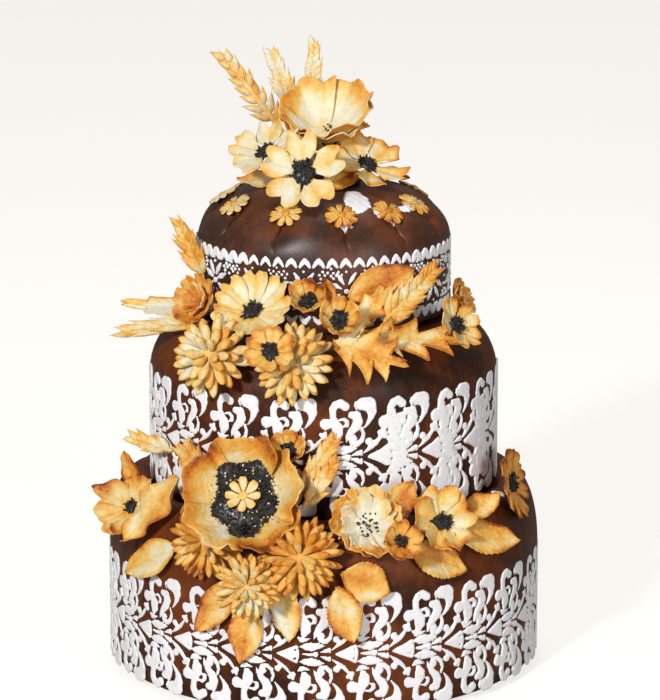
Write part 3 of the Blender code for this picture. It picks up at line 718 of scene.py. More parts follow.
def petal(
    reach, spread, dice, notch=0.1, corner=0.3, round_off=3.0, waist=0.72, cup=5.0, bowl=0.0, ruffle=0.6,
    waves=2.0, curl=0.8, lean=0.12, groove=0.9, tone=0.1, brown=0.45, rim=0.26, sides=1.0, under=0.08,
    thickness=1.9, rows=14, columns=19,
):
    """One petal from the middle along +Y, spread degrees to each side, browned at its edge, and painted
    darker as shade towards its base and along its middle groove.
    """
    t = np.linspace(0.0, 1.0, rows)[:, None]
    s = np.linspace(-1.0, 1.0, columns)[None, :]
    reach = reach * dice.uniform(0.93, 1.03)
    tip = 1.0 - corner * np.abs(s) ** round_off - notch * np.exp(-(s / 0.17) ** 2)
    fan = math.radians(spread * dice.uniform(0.93, 1.05)) * (waist + (1.0 - waist) * ease(t / 0.75))
    away = reach * (0.07 + 0.93 * t * (1.0 + (tip - 1.0) * t ** 1.5))
    angle = fan * s + 0.06 * dice.uniform(-1.0, 1.0) * t
    frill = ruffle * t ** 2.5 * (0.35 + 0.65 * np.abs(s))
    beat = np.pi * waves * s + dice.uniform(0.0, 6.28)
    out = away + 0.55 * frill * (np.cos(beat) + 0.4 * np.sin(2.3 * beat))
    x = out * np.sin(angle)
    y = out * np.cos(angle)
    z = cupped(away / reach, cup * dice.uniform(0.88, 1.12), bowl)
    z = z + frill * (np.sin(beat) + 0.3 * np.sin(2.1 * beat))
    z = z + curl * dice.uniform(-0.3, 1.6) * np.abs(s) ** 3 * t + lean * x
    fold = np.exp(-(s / 0.16) ** 2) * np.minimum(1.6 * t, 1.0)
    z = z + groove * (0.8 * np.sin(np.pi * np.abs(s)) * t - fold)
    beside = np.abs(s) ** 1.6 * np.minimum(1.5 * t, 1.0)
    edge = np.maximum(beside, t)
    browned = np.maximum(sides * beside, t)
    bake = tone + brown * ease((browned - 1.0 + rim) / rim) * dice.uniform(0.55, 1.2)
    # The last term on the next line darkens the petal towards its base, and the line after it darkens its
    # middle groove: both are painted shade.
    bake = bake + 0.14 * np.sin(3.0 * s + dice.uniform(0.0, 6.28)) * t + 0.2 * (1.0 - ease(t / 0.4))
    bake = bake + 0.12 * np.exp(-(s / 0.12) ** 2) * np.sin(np.pi * t)
    return pastry_sheet(np.stack((x, y, z), -1), bake, thickness, edge, under)


def dome(radius, height, bake=0.3, rings=5, around=16, base=0.0):
    """Low closed mound."""
    points = [(0.0, 0.0, base + height)]
    for ring in range(1, rings + 1):
        slope = 0.5 * math.pi * ring / rings
        for step in range(around):
            angle = math.tau * step / around
            out = radius * math.sin(slope)
            x, y = out * math.cos(angle), out * math.sin(angle)
            points.append((x, y, base + height * math.cos(slope)))
    points.append((0.0, 0.0, base - 0.5))
    faces = []
    for step in range(around):
        ahead = (step + 1) % around
        faces.append((0, 1 + step, 1 + ahead, 1 + ahead))
        for ring in range(rings - 1):
            low, high = 1 + (ring + 1) * around, 1 + ring * around
            faces.append((high + step, low + step, low + ahead, high + ahead))
        last = 1 + (rings - 1) * around
        faces.append((last + ahead, last + step, len(points) - 1, len(points) - 1))
    return np.array(points), faces, np.full(len(points), bake)


def clean_faces(faces):
    """Faces with a corner named twice become triangles."""
    return [tuple(dict.fromkeys(face)) for face in faces]


def small_daisy(dice, across, petals=9):
    """Flat daisy of long rounded petals with a pressed middle."""
    parts = []
    for count in range(petals):
        piece = petal(
            0.53 * across, 162.0 / petals, dice, notch=0.0, corner=0.26, round_off=3.6, cup=0.4,
            ruffle=0.1, waves=1.0, curl=-0.4, lean=0.0, groove=0.35, tone=0.08, brown=0.3, thickness=2.2,
            rows=8, columns=7,
        )
        parts.append((turned(piece[0], 360.0 * count / petals + dice.uniform(-4.0, 4.0)), *piece[1:]))
    parts.append(dome(0.14 * across, 0.9, bake=0.35, rings=3, around=10))
    return joined(parts)


points, faces, marks = dome(20.0, 13.3, bake=0.1, rings=10, around=40, base=338.0)
points[:, :2] += (6.0, -2.0)
mound = mesh_piece("mound_top", points, clean_faces(faces), paste, marks, "crease")
settle(mound, "chocolate", "tier_top")
dice = np.random.default_rng(4)
daisies = []
for azimuth in DAISY_AZIMUTHS:
    places = []
    for beside in (0.0, -7.0, 7.0):
        angle = math.radians(azimuth + beside)
        x, y = DAISY_RING * math.sin(angle), -DAISY_RING * math.cos(angle)
        places.append(on_covering(coverings[0], x, y)[0])
    spot = np.array((*places[0][:2], max(place[2] for place in places)))
    points, faces, marks = small_daisy(dice, 21.0)
    shade = DAISY_TONES.get(azimuth, dice.uniform(0.0, 0.3))
    points[:, 2] += 1.6 - 0.012 * (points[:, 0] ** 2 + points[:, 1] ** 2)
    axes = facing(azimuth, 59.0, dice.uniform(0.0, 40.0))
    daisies.append((points @ axes.T + spot, faces, marks + shade))
points, faces, marks = joined(daisies)
ring = mesh_piece("daisies_top", points, clean_faces(faces), PASTRY["pastry_pale"], marks)
settle(ring, "pastry_golden", "tier_top")

# ---------------------------------------------------------------- anemones and open blooms
# Each flower is five or more heart-shaped petals of thin dough, cupped over a former while soft
# and set round a heap of black seeds stuck on with egg white. The two small blossoms of the
# middle tier have an inner ring of petals in place of the seeds.

SEED_LONG = 2.7  # millimetres
SEED_WIDE = 1.5
CLOSE_PACKED = 4000000.0  # grains tried on a square metre, so that only their spacing thins them
FLOWERS = (
    # node, across, petals, look, roll, fullness, notch, corner, cup, ruffle, heart, tone, brown, dough
    ("anemone_top_left", 54, 5, (-35, 55), 20, 1.0, 0.18, 0.36, 6.0, 2.4, 15, 0.03, 0.24, "pastry_pale"),
    ("anemone_top_right", 56, 5, (30, 58), 10, 1.0, 0.12, 0.32, 6.0, 2.6, 15, 0.12, 0.5, "pastry_pale"),
    ("anemone_top_front", 59, 5, (-5, 30), 0, 0.97, 0.24, 0.38, 6.0, 1.4, 19, 0.07, 0.22, "pastry_pale"),
    ("anemone_top_back", 54, 5, (178, 38), 0, 0.97, 0.18, 0.36, 6.0, 1.0, 18, 0.1, 0.42, "pastry_pale"),
    ("blossom_mid_right", 32, 6, (75, 25), 0, 1.1, 0.0, 0.25, 6.0, 0.7, 0, 0.05, 0.35, "pastry_brown"),
    ("anemone_mid_right", 40, 5, (55, 30), 0, 1.0, 0.14, 0.34, 6.0, 1.0, 14, 0.12, 0.5, "pastry_pale"),
    ("blossom_mid_left", 36, 8, (-45, 25), 0, 1.15, 0.0, 0.2, 9.0, 0.9, 0, 0.22, 0.25, "pastry_golden"),
    ("bloom_mid_yellow", 54, 8, (-12, 50), 0, 1.2, 0.10, 0.26, 9.0, 1.5, 15, 0.12, 0.3, "pastry_pale"),
    ("anemone_mid_small", 34, 6, (-8, 40), 0, 1.02, 0.1, 0.28, 4.5, 0.7, 14, 0.14, 0.4, "pastry_golden"),
    ("anemone_low_left", 48, 5, (-35, 38), 0, 1.25, 0.10, 0.2, 6.0, 3.6, 11, 0.0, 0.5, "pastry_golden"),
    ("blossom_low_small", 27, 5, (20, 30), 0, 1.1, 0.04, 0.22, 6.0, 0.7, 9, 0.25, 0.4, "pastry_golden"),
    ("anemone_low_right", 46, 5, (28, 30), 0, 1.3, 0.10, 0.22, 6.0, 3.8, 15, 0.18, 0.5, "pastry_pale"),
    ("bloom_low_side", 50, 9, (72, 15), 0, 1.06, 0.0, 0.24, 3.5, 0.5, 14, 0.28, 0.35, "pastry_golden"),
)


def seed_finish():
    """Black seeds with a dull shine."""
    made, shader = blank_material("black_seeds", 0.38)
    tree = made.node_tree
    dull = noise(tree, put(tree, "ShaderNodeTexCoord").outputs["Object"], 500.0, 2.0)
    colour = colour_ramp(tree, dull, ((0.35, (0.006, 0.005, 0.005)), (0.68, (0.035, 0.028, 0.026))))
    tree.links.new(colour, shader.inputs["Base Color"])
    tree.links.new(spanned(tree, dull, 0.0, 1.0, 0.3, 0.5), shader.inputs["Roughness"])
    return made


def almond(belly, blunt, around, rings):
    """Plump pointed grain along +Y, one metre long, wide and thick, with more bake at its tip."""
    power = math.log(0.5) / math.log(belly)
    points = [(0.0, 0.0, 0.0)]
    marks = [0.0]
    for ring in range(1, rings):
        at = ring / rings
        half = 500.0 * math.sin(math.pi * at ** power) ** blunt
        for step in range(around):
            angle = math.tau * step / around
            points.append((half * math.cos(angle), 1000.0 * at, -half * math.sin(angle)))
            marks.append(at ** 2)
    points.append((0.0, 1000.0, 0.0))
    marks.append(1.0)
    faces = []
    last = len(points) - 1
    for step in range(around):
        ahead = (step + 1) % around
        faces.append((0, 1 + ahead, 1 + step))
        for ring in range(rings - 2):
            low, high = 1 + ring * around, 1 + (ring + 1) * around
            faces.append((low + step, low + ahead, high + ahead, high + step))
        faces.append((last, last - around + step, last - around + ahead))
    return points, faces, marks


def chance(tree, low, high, seed, **more):
    """Random number between low and high for each copy."""
    return put(tree, "FunctionNodeRandomValue", {2: low, 3: high, "Seed": seed, **more}).outputs[1]


def scatter_tree(finish):
    """Grains scattered over the base mesh at every angle, on the base itself or without it."""
    tree, given, output = start_tree("heap_of_grains", (
        ("Grain", "Object"), ("Spacing", "Float"), ("Long", "Float"), ("Wide", "Float"), ("Seed", "Int"),
        ("Density", "Float"), ("Keep base", "Bool"),
    ))
    base, seed = given["Geometry"], given["Seed"]
    spots = put(tree, "GeometryNodeDistributePointsOnFaces", {
        "Mesh": base, "Distance Min": given["Spacing"], "Density Max": given["Density"], "Seed": seed,
    }, distribute_method="POISSON").outputs["Points"]
    any_way = {1: (6.28, 6.28, 6.28), "Seed": seed}
    spin = put(tree, "FunctionNodeRandomValue", any_way, data_type="FLOAT_VECTOR").outputs[0]
    size = vector(tree, given["Wide"], given["Long"], given["Wide"])
    vary = chance(tree, 0.75, 1.2, seed)
    size = put(tree, "ShaderNodeVectorMath", {0: size, 3: vary}, operation="SCALE").outputs[0]
    grains = copies(tree, spots, given["Grain"], Rotation=spin, Scale=size)
    ground = put(tree, "GeometryNodeSwitch", {"Switch": given["Keep base"], "True": base}).outputs[0]
    end_tree(tree, output, gathered(tree, ground, grains), finish)
    return tree


def points_of(obj):
    """Corners of an object's mesh, in metres."""
    flat = np.empty(3 * len(obj.data.vertices))
    obj.data.vertices.foreach_get("co", flat)
    return flat.reshape(-1, 3)


def seat(points, node, axes):
    """Step, in the piece's own directions, that centres it on its solid."""
    solid = points_of(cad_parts[node]) / MM @ axes
    return 0.5 * (solid.min(0) + solid.max(0)) - 0.5 * (points.min(0) + points.max(0))


def carry(obj, step, axes):
    """Move the points of a finished mesh from the piece's own directions into the cake's."""
    moved = (points_of(obj) + step * MM) @ axes.T
    obj.data.vertices.foreach_set("co", moved.reshape(-1))
    obj.data.update()
    return obj


def heap_of_seeds(node, radius, height, cup, reach, step, axes, seed, bowl=0.0, spacing=1.25, base=True):
    """Seeds heaped unevenly in a flower's heart, following the cup of its petals."""
    points, faces, _ = dome(radius, height, rings=6, around=24)
    angle = np.arctan2(points[:, 0], points[:, 1])
    uneven = 0.9 + 0.13 * np.sin(2.0 * angle + seed) + 0.12 * np.sin(5.0 * angle + 3.0 * seed)
    points[:, :2] *= uneven[:, None]
    points[:, 2] += cupped(np.hypot(points[:, 0], points[:, 1]) / reach, cup, bowl) + 0.3
    mound = mesh_piece(node + "_seeds_mound", points, clean_faces(faces), seeds_black)
    heap = run_tree(node + "_seeds", heaps, {
        "Grain": seed_grain, "Spacing": spacing * MM, "Long": SEED_LONG * MM, "Wide": SEED_WIDE * MM,
        "Seed": seed, "Density": CLOSE_PACKED, "Keep base": base,
    }, mound)
    settle(carry(heap, step, axes), "seeds", node)


seeds_black = seed_finish()
heaps = scatter_tree(seeds_black)
points, faces, _ = almond(belly=0.5, blunt=0.7, around=5, rings=5)
seed_grain = mesh_piece("seed_grain", points, faces, seeds_black)
for order, row in enumerate(FLOWERS):
    node, across, petals, look, roll, full, notch, corner, cup, ruffle, heart, tone, brown, dough = row
    dice = np.random.default_rng(order + 20)
    parts = []
    for count in range(petals):
        piece = petal(
            0.5 * across, 180.0 * full / petals, dice, notch=notch, corner=corner,
            waist=0.6 if notch > 0.1 else 0.72, cup=cup, ruffle=ruffle, tone=tone, brown=brown,
        )
        parts.append((turned(piece[0], 360.0 * count / petals + dice.uniform(-3.0, 3.0)), *piece[1:]))
        if not heart:
            piece = petal(
                0.3 * across, 180.0 * full / petals, dice, notch=0.0, corner=0.25, cup=0.9 * cup,
                ruffle=0.6, tone=tone + 0.12, brown=-0.2, rows=9, columns=11,
            )
            raised = piece[0] + np.array((0.0, 0.0, 2.2))
            parts.append((turned(raised, 360.0 * (count + 0.5) / petals), *piece[1:]))
    points, faces, marks = joined(parts)
    axes = facing(*look, roll)
    step = seat(points, node, axes)
    bloom = mesh_piece(node + "_petals", points, faces, PASTRY[dough], marks)
    settle(carry(bloom, step, axes), dough, node)
    if heart:
        heap_of_seeds(node, 0.46 * heart, 0.16 * heart + 0.8, cup, 0.5 * across, step, axes, order)

# ---------------------------------------------------------------- seed cups
# Small scalloped shells of dough, gathered round a heap of seeds like half-open buds and dried
# in a cup before they are baked.

CUPS = (
    # node, across, look, petals
    ("cup_mid_upper", 25, (-8, 45), 6),
    ("cup_mid_lower", 27, (8, 35), 7),
    ("cup_low", 23, (-5, 40), 6),
)

for order, (node, across, look, petals) in enumerate(CUPS):
    dice = np.random.default_rng(order + 60)
    cup = 0.42 * across
    parts = []
    for count in range(petals):
        piece = petal(
            0.5 * across, 210.0 / petals, dice, notch=0.0, corner=0.2, cup=cup, ruffle=0.5,
            curl=0.4, lean=0.1, tone=0.15, brown=0.5, rows=10, columns=11,
        )
        parts.append((turned(piece[0], 360.0 * count / petals), *piece[1:]))
    points, faces, marks = joined(parts)
    axes = facing(*look)
    step = seat(points, node, axes)
    cup_piece = mesh_piece(node + "_petals", points, faces, PASTRY["pastry_golden"], marks)
    settle(carry(cup_piece, step, axes), "pastry_golden", node)
    heap_of_seeds(node, 0.25 * across, 0.14 * across, cup, 0.5 * across, step, axes, order)

# ---------------------------------------------------------------- poppies
# Wide cups of deep overlapping petals with frilled rims. The low front one holds a bed of seeds
# and a few pale crumbs, with a daisy pressed into the middle of it.

POPPIES = (
    # node, across, look, depth, bowl,
    # layers of (petals, reach, fullness, ruffle, tone, brown), radius of the seed bed
    ("poppy_crown", 65, (-12, 64), 24, 0.3, ((4, 1.0, 2.0, 3.8, -0.08, 0.55),), 3.5),
    ("ruffle_low_white", 48, (8, 30), 12, 0.35,
     ((5, 1.0, 1.4, 3.6, -0.04, 0.5), (5, 0.80, 1.5, 4.2, -0.2, 0.34)), 9.0),
    ("poppy_low", 80, (-8, 30), 21, 0.5, ((5, 1.0, 1.35, 6.2, 0.10, 0.55),), 26.0),
)
POPPY_DOUGH = {"poppy_low": "pastry_golden"}
CRUMB_SPARSE = 40000.0  # crumbs on a square metre

crumbs_pale = scatter_tree(PASTRY["pastry_pale"])
for order, (node, across, look, depth, bowl, layers, bed) in enumerate(POPPIES):
    dice = np.random.default_rng(order + 70)
    parts = []
    for layer, (petals, out, full, ruffle, tone, brown) in enumerate(layers):
        for count in range(petals):
            piece = petal(
                0.5 * across * out, 180.0 * full / petals, dice, notch=0.0, corner=0.11, bowl=bowl,
                cup=depth * out * dice.uniform(0.85, 1.15), ruffle=ruffle,
                waves=dice.uniform(7.0, 11.0) * full / petals, curl=1.2, lean=0.12, groove=0.2,
                waist=0.95, tone=tone + dice.uniform(-0.08, 0.1), brown=brown, rim=0.4, sides=0.45,
                under=0.4, rows=22, columns=37,
            )
            turn = 360.0 * (count + 0.5 * layer) / petals + dice.uniform(-8.0, 8.0)
            parts.append((turned(piece[0] + np.array((0.0, 0.0, 1.2 * layer)), turn), *piece[1:]))
    points, faces, marks = joined(parts)
    axes = facing(*look)
    step = seat(points, node, axes)
    poppy = mesh_piece(node + "_petals", points, faces, PASTRY["pastry_pale"], marks)
    settle(carry(poppy, step, axes), POPPY_DOUGH.get(node, "pastry_pale"), node)
    raised = step + np.array((0.0, 0.0, 1.4))
    wide_bed = bed > 20.0
    heap_of_seeds(
        node, bed, 5.0 if wide_bed else 0.8, depth, 0.5 * across, raised, axes, order + 50, bowl,
        spacing=1.25 if wide_bed else 2.6, base=wide_bed,
    )
    if wide_bed:
        points, faces, marks = small_daisy(dice, 22.0, 8)
        points[:, 2] += 8.6 + 0.02 * (points[:, 0] ** 2 + points[:, 1] ** 2)
        daisy = mesh_piece(node + "_daisy", points, clean_faces(faces), PASTRY["pastry_pale"], marks)
        settle(carry(daisy, step, axes), "pastry_golden", node)
        points, faces, marks = dome(0.95 * bed, 5.4, bake=0.04, rings=6, around=24, base=1.2)
        crumb_bed = mesh_piece("crumb_bed", points, clean_faces(faces), PASTRY["pastry_pale"], marks)
        crumbs = run_tree(node + "_crumbs", crumbs_pale, {
            "Grain": seed_grain, "Spacing": 0.6 * MM, "Long": 1.9 * MM, "Wide": 1.2 * MM, "Seed": 8,
            "Density": CRUMB_SPARSE, "Keep base": False,
        }, crumb_bed)
        settle(carry(crumbs, raised, axes), "pastry_golden", node)

# ---------------------------------------------------------------- chrysanthemums
# Rings of plump pointed petals snipped from dough, each ring shorter and steeper than the one
# below it, on a rounded base. The tips have taken the most colour.

MUMS = (
    # node, across, look, petals in the lowest ring, width, tone, dough
    ("mum_mid_left", 56, (-22, 18), 15, 6.6, -0.20, "pastry_golden"),
    ("mum_mid_right", 57, (0, 22), 18, 6.0, 0.0, "pastry_pale"),
    ("mum_low_left", 55, (-22, 15), 18, 5.2, 0.06, "pastry_golden"),
    ("mum_low_right", 58, (0, 18), 21, 5.3, -0.06, "pastry_brown"),
    ("mum_low_front", 47, (-8, 12), 19, 4.7, 0.06, "pastry_pale"),
)
RINGS = (
    # share of the petals, reach, lift in degrees, start, height
    (1.0, 1.00, -6.0, 0.14, 0.0),
    (0.95, 0.92, 8.0, 0.12, 1.8),
    (0.65, 0.76, 26.0, 0.08, 3.2),
    (0.35, 0.52, 50.0, 0.05, 4.2),
)


def kept_number(tree, geometry, name, value, domain):
    """Geometry with a number kept at each point or each copy."""
    return put(tree, "GeometryNodeStoreNamedAttribute", {
        "Geometry": geometry, "Name": name, "Value": value,
    }, domain=domain).outputs[0]


def each_baked(tree, laid, tone, seed):
    """Copies made real, each browned by tone and by a little of its own."""
    own = field(tree, "ADD", chance(tree, -0.11, 0.13, field(tree, "ADD", seed, 21)), tone)
    laid = kept_number(tree, laid, "own_bake", own, "INSTANCE")
    real = put(tree, "GeometryNodeRealizeInstances", {0: laid}).outputs[0]
    read = [put(tree, "GeometryNodeInputNamedAttribute", {"Name": name}) for name in ("bake", "own_bake")]
    both = field(tree, "ADD", *(number.outputs[0] for number in read))
    return kept_number(tree, real, "bake", both, "POINT")


def ring_tree(finish):
    """A ring of petals set round the middle of the base mesh, each a little out of true."""
    tree, given, output = start_tree("ring_of_petals", (
        ("Petal", "Object"), ("Count", "Int"), ("Length", "Float"), ("Width", "Float"),
        ("Thick", "Float"), ("Lift", "Float"), ("Shift", "Float"), ("Start", "Float"),
        ("Height", "Float"), ("Seed", "Int"), ("Tone", "Float"),
    ))
    index = put(tree, "GeometryNodeInputIndex").outputs[0]
    seed = given["Seed"]
    sway = chance(tree, -0.09, 0.09, seed, ID=index)
    nod = chance(tree, -0.12, 0.1, field(tree, "ADD", seed, 9), ID=index)
    roll = chance(tree, -0.25, 0.25, field(tree, "ADD", seed, 5), ID=index)
    grown = chance(tree, 0.9, 1.06, field(tree, "ADD", seed, 3), ID=index)
    turn = field(tree, "DIVIDE", field(tree, "MULTIPLY", index, math.tau), given["Count"])
    turn = field(tree, "ADD", field(tree, "ADD", turn, given["Shift"]), sway)
    x = field(tree, "MULTIPLY", field(tree, "SINE", turn), given["Start"])
    y = field(tree, "MULTIPLY", field(tree, "COSINE", turn), given["Start"])
    spot = vector(tree, x, y, given["Height"])
    spots = put(tree, "GeometryNodePoints", {"Count": given["Count"], "Position": spot}).outputs[0]
    lift = field(tree, "ADD", given["Lift"], nod)
    aim = vector(tree, lift, roll, field(tree, "MULTIPLY", turn, -1.0))
    size = vector(tree, given["Width"], field(tree, "MULTIPLY", grown, given["Length"]), given["Thick"])
    ring = copies(tree, spots, given["Petal"], Rotation=aim, Scale=size)
    flower = gathered(tree, given["Geometry"], each_baked(tree, ring, given["Tone"], seed))
    end_tree(tree, output, flower, finish)
    return tree


def plump_petal(name, belly, blunt, finish):
    """Pointed petal of unit size that bends up towards its tip, as a spare piece."""
    points, faces, marks = almond(belly, blunt, 10, 12)
    points = np.array(points)
    points[:, 2] += 500.0 * (points[:, 1] / 1000.0) ** 2
    rim = np.abs(points[:, 0]) / (np.abs(points[:, 0]).max() + 1e-9)
    marks = 0.40 * np.array(marks) ** 1.8 + 0.10 * rim ** 2 + 0.05 * (1.0 - points[:, 1] / 1000.0) ** 3
    return mesh_piece(name, points, faces, finish, marks)


mum_rings = {dough: ring_tree(PASTRY[dough]) for dough in PASTRY}
mum_petal = plump_petal("mum_petal", belly=0.64, blunt=0.56, finish=PASTRY["pastry_pale"])
for order, (node, across, look, count, wide, tone, dough) in enumerate(MUMS):
    reach = 0.5 * across
    points, faces, marks = dome(0.36 * reach, 0.2 * reach, bake=0.2)
    piece = mesh_piece(node + "_petals", points, clean_faces(faces), PASTRY[dough], marks + tone)
    for level, (share, out, lift, start, height) in enumerate(RINGS):
        length = (out - start) * reach / math.cos(math.radians(lift)) ** 0.6
        piece = run_tree(node + "_petals", mum_rings[dough], {
            "Petal": mum_petal, "Count": round(share * count), "Length": length * MM, "Width": wide * MM,
            "Thick": 0.72 * wide * MM, "Lift": math.radians(lift), "Shift": 0.23 * level,
            "Start": start * reach * MM, "Height": height * MM, "Seed": 10 * order + level, "Tone": tone,
        }, piece)
    axes = facing(*look)
    settle(carry(piece, seat(points_of(piece) / MM, node, axes), axes), dough, node)

# ---------------------------------------------------------------- leaves
# Leaves of thin rolled dough, folded or curled over the flowers: some toothed along both edges,
# some smooth ovals, and two long lobed ones that reach round to the right.

LEAF_THICKNESS = 1.8  # millimetres
LEAVES = (
    # node, base, tip, look,
    # width, style, fold, curl, tone, dough
    ("leaf_top_left", (-22, -35, 346), (-58, -35, 344), (-20, 60),
     18, "toothed", 0.1, 0.1, 0.1, "pastry_pale"),
    ("leaf_top_right", (-2, -60, 345), (25, -48, 352), (5, 45),
     17, "toothed", 0.12, 0.1, 0.1, "pastry_golden"),
    ("leaf_top_back", (30, 24, 350), (60, 34, 335), (110, 65),
     18, "toothed", 0.12, 0.1, 0.1, "pastry_golden"),
    ("leaf_mid_far", (-78, -50, 258), (-136, -42, 260), (-30, 50),
     22, "ragged", 0.1, 0.05, -0.12, "pastry_pale"),
    ("leaf_mid_upright", (4, -100, 265), (2, -98, 289), (0, 20),
     12, "smooth", 0.1, 0.3, 0.25, "pastry_golden"),
    ("leaf_mid_folded", (17, -95, 275), (60, -75, 290), (25, 25),
     24, "smooth", 0.3, 0.1, 0.08, "pastry_brown"),
    ("leaf_mid_toothed", (12, -110, 252), (47, -90, 283), (20, 20),
     21, "spiny", 0.12, 0.1, -0.02, "pastry_golden"),
    ("leaf_mid_oak_long", (26, -117, 254), (97, -80, 241), (30, 45),
     38, "oak", 0.1, 0.08, 0.1, "pastry_golden"),
    ("leaf_mid_oak_low", (8, -121, 251), (54, -116, 235), (12, 25),
     48, "oak", 0.1, 0.08, 0.1, "pastry_golden"),
    ("leaf_low_upright", (-127, -80, 138), (-134, -80, 166), (-40, 15),
     15, "smooth", 0.12, 0.1, 0.3, "pastry_golden"),
    ("leaf_low_outward", (-134, -80, 136), (-157, -70, 138), (-30, 45),
     14, "smooth", 0.12, 0.1, 0.25, "pastry_golden"),
    ("leaf_low_browned", (40, -125, 128), (60, -112, 153), (25, 20),
     22, "toothed", 0.12, 0.1, 0.02, "pastry_brown"),
    ("leaf_low_round", (-100, -113, 108), (-136, -88, 85), (-42, 25),
     25, "smooth", 0.06, -0.1, 0.06, "pastry_pale"),
    ("leaf_right_up", (90, -108, 127), (119, -88, 137), (40, 45),
     18, "toothed", 0.12, 0.1, 0.15, "pastry_golden"),
    ("leaf_right_out", (88, -114, 117), (131, -85, 105), (45, 30),
     24, "toothed", 0.12, 0.1, 0.1, "pastry_golden"),
    ("leaf_right_low", (57, -140, 115), (94, -120, 95), (32, 20),
     26, "toothed", 0.12, 0.1, 0.05, "pastry_golden"),
    ("leaf_hang_right", (12, -152, 102), (43, -148, 88), (12, 12),
     28, "toothed", 0.12, 0.1, 0.05, "pastry_golden"),
    ("leaf_hang_browned", (9, -152, 92), (19, -152, 55), (8, 8),
     24, "toothed", 0.12, 0.1, -0.12, "pastry_brown"),
    ("leaf_hang_pale", (-27, -150, 95), (-22, -150, 55), (-8, 8),
     20, "toothed", 0.12, 0.1, 0.0, "pastry_pale"),
    ("leaf_hang_mid", (-49, -146, 82), (-54, -146, 39), (-18, 8),
     24, "toothed", 0.12, 0.1, 0.05, "pastry_golden"),
    ("leaf_hang_left", (-60, -140, 92), (-84, -132, 56), (-28, 8),
     22, "smooth", 0.1, 0.1, 0.1, "pastry_golden"),
    ("leaf_low_curled", (-98, -105, 155), (-134, -95, 108), (-38, 25),
     24, "wavy", 0.3, 0.1, 0.16, "pastry_pale"),
    ("leaf_low_tucked", (-72, -125, 134), (-88, -115, 146), (-30, 25),
     17, "wavy", 0.3, 0.1, -0.05, "pastry_brown"),
)
EDGES = {
    # style: teeth or lobes a side, their depth, sharpness of the lobes or 0 for teeth, fullness, wave
    "toothed": (13, 0.10, 0.0, 0.9, 1.0),
    "smooth": (0, 0.0, 0.0, 0.85, 0.8),
    "wavy": (0, 0.0, 0.0, 0.8, 5.0),
    "spiny": (5, 0.40, 0.9, 0.9, 1.8),
    "ragged": (3, 0.40, 0.9, 0.8, 1.8),
    "oak": (4, 0.66, 0.9, 0.8, 1.8),
}


def along(base, tip, look):
    """Right, length and face directions of a piece that runs from base to tip and looks one way."""
    run = np.subtract(tip, base).astype(float)
    length = np.linalg.norm(run)
    run /= length
    face = facing(*look)[:, 2]
    face = face - run * (face @ run)
    face /= np.linalg.norm(face)
    return np.stack((np.cross(run, face), run, face), 1), length


def leaf(length, width, style, fold, curl, tone, dice):
    """Leaf along +Y with a pressed midrib and side veins, browned at its edge, and painted darker as
    shade along the veins.
    """
    teeth, depth, sharp, fullness, wave = EDGES[style]
    rows = 60 if teeth else 24
    t = np.linspace(0.0, 1.0, rows)[:, None]
    s = np.linspace(-1.0, 1.0, 17)[None, :]
    envelope = np.maximum(np.sin(np.pi * t ** fullness), 0.0) ** 0.75
    if sharp:
        cut = depth * np.abs(np.sin(np.pi * teeth * t)) ** sharp
        forward = depth * length / (2.0 * teeth) * np.cos(math.tau * teeth * t) * (t > 0.0) * (t < 1.0)
    elif teeth:
        cut = depth * (1.0 - (teeth * t + dice.uniform(0.0, 0.3)) % 1.0)
        forward = 0.06 * width * np.abs(s) * envelope * np.minimum(3.0 * (1.0 - t), 1.0)
    else:
        cut = forward = 0.0
    half = 0.5 * width * np.maximum(envelope * (1.0 - cut), 0.03)
    x = half * s
    y = length * t + forward * np.abs(s)
    z = fold * np.abs(x) + curl * length * (t - 0.35) ** 2
    z = z + wave * np.sin(4.4 * np.pi * t + 1.2 * s + dice.uniform(0.0, 6.28)) * np.abs(s) ** 2
    side_veins = np.cos(np.pi * (9.0 * t - 2.6 * np.abs(s))) ** 8 * (np.abs(s) < 0.92)
    vein = np.exp(-(s / 0.09) ** 2) + 0.6 * side_veins
    z = z - 0.4 * vein * np.minimum(6.0 * (1.0 - t), 1.0)
    edge = np.maximum(np.abs(s) ** 2, np.abs(2.0 * t - 1.0) ** 4 * (t > 0.5))
    # The vein term is painted shade in the pressed midrib and side veins.
    bake = tone + 0.34 * ease((edge - 0.45) / 0.55) + 0.12 * vein
    bake = bake + 0.2 * np.sin(4.0 * t + 2.0 * s + dice.uniform(0.0, 6.28)) + 0.12 * t
    return pastry_sheet(np.stack((x, y, z), -1), bake, LEAF_THICKNESS, edge)


for order, (node, base, tip, look, width, style, fold, curl, tone, dough) in enumerate(LEAVES):
    axes, length = along(base, tip, look)
    dice = np.random.default_rng(order + 90)
    points, faces, marks = leaf(length, width, style, fold, curl, tone, dice)
    piece = mesh_piece(node + "_blade", points, faces.tolist(), PASTRY[dough], marks)
    settle(carry(piece, seat(points, node, axes), axes), dough, node)

# ---------------------------------------------------------------- wheat ears
# Ears rolled as a strip on a thin stalk and snipped down both sides into sharp points that
# stand out by turns. The points are the most baked.

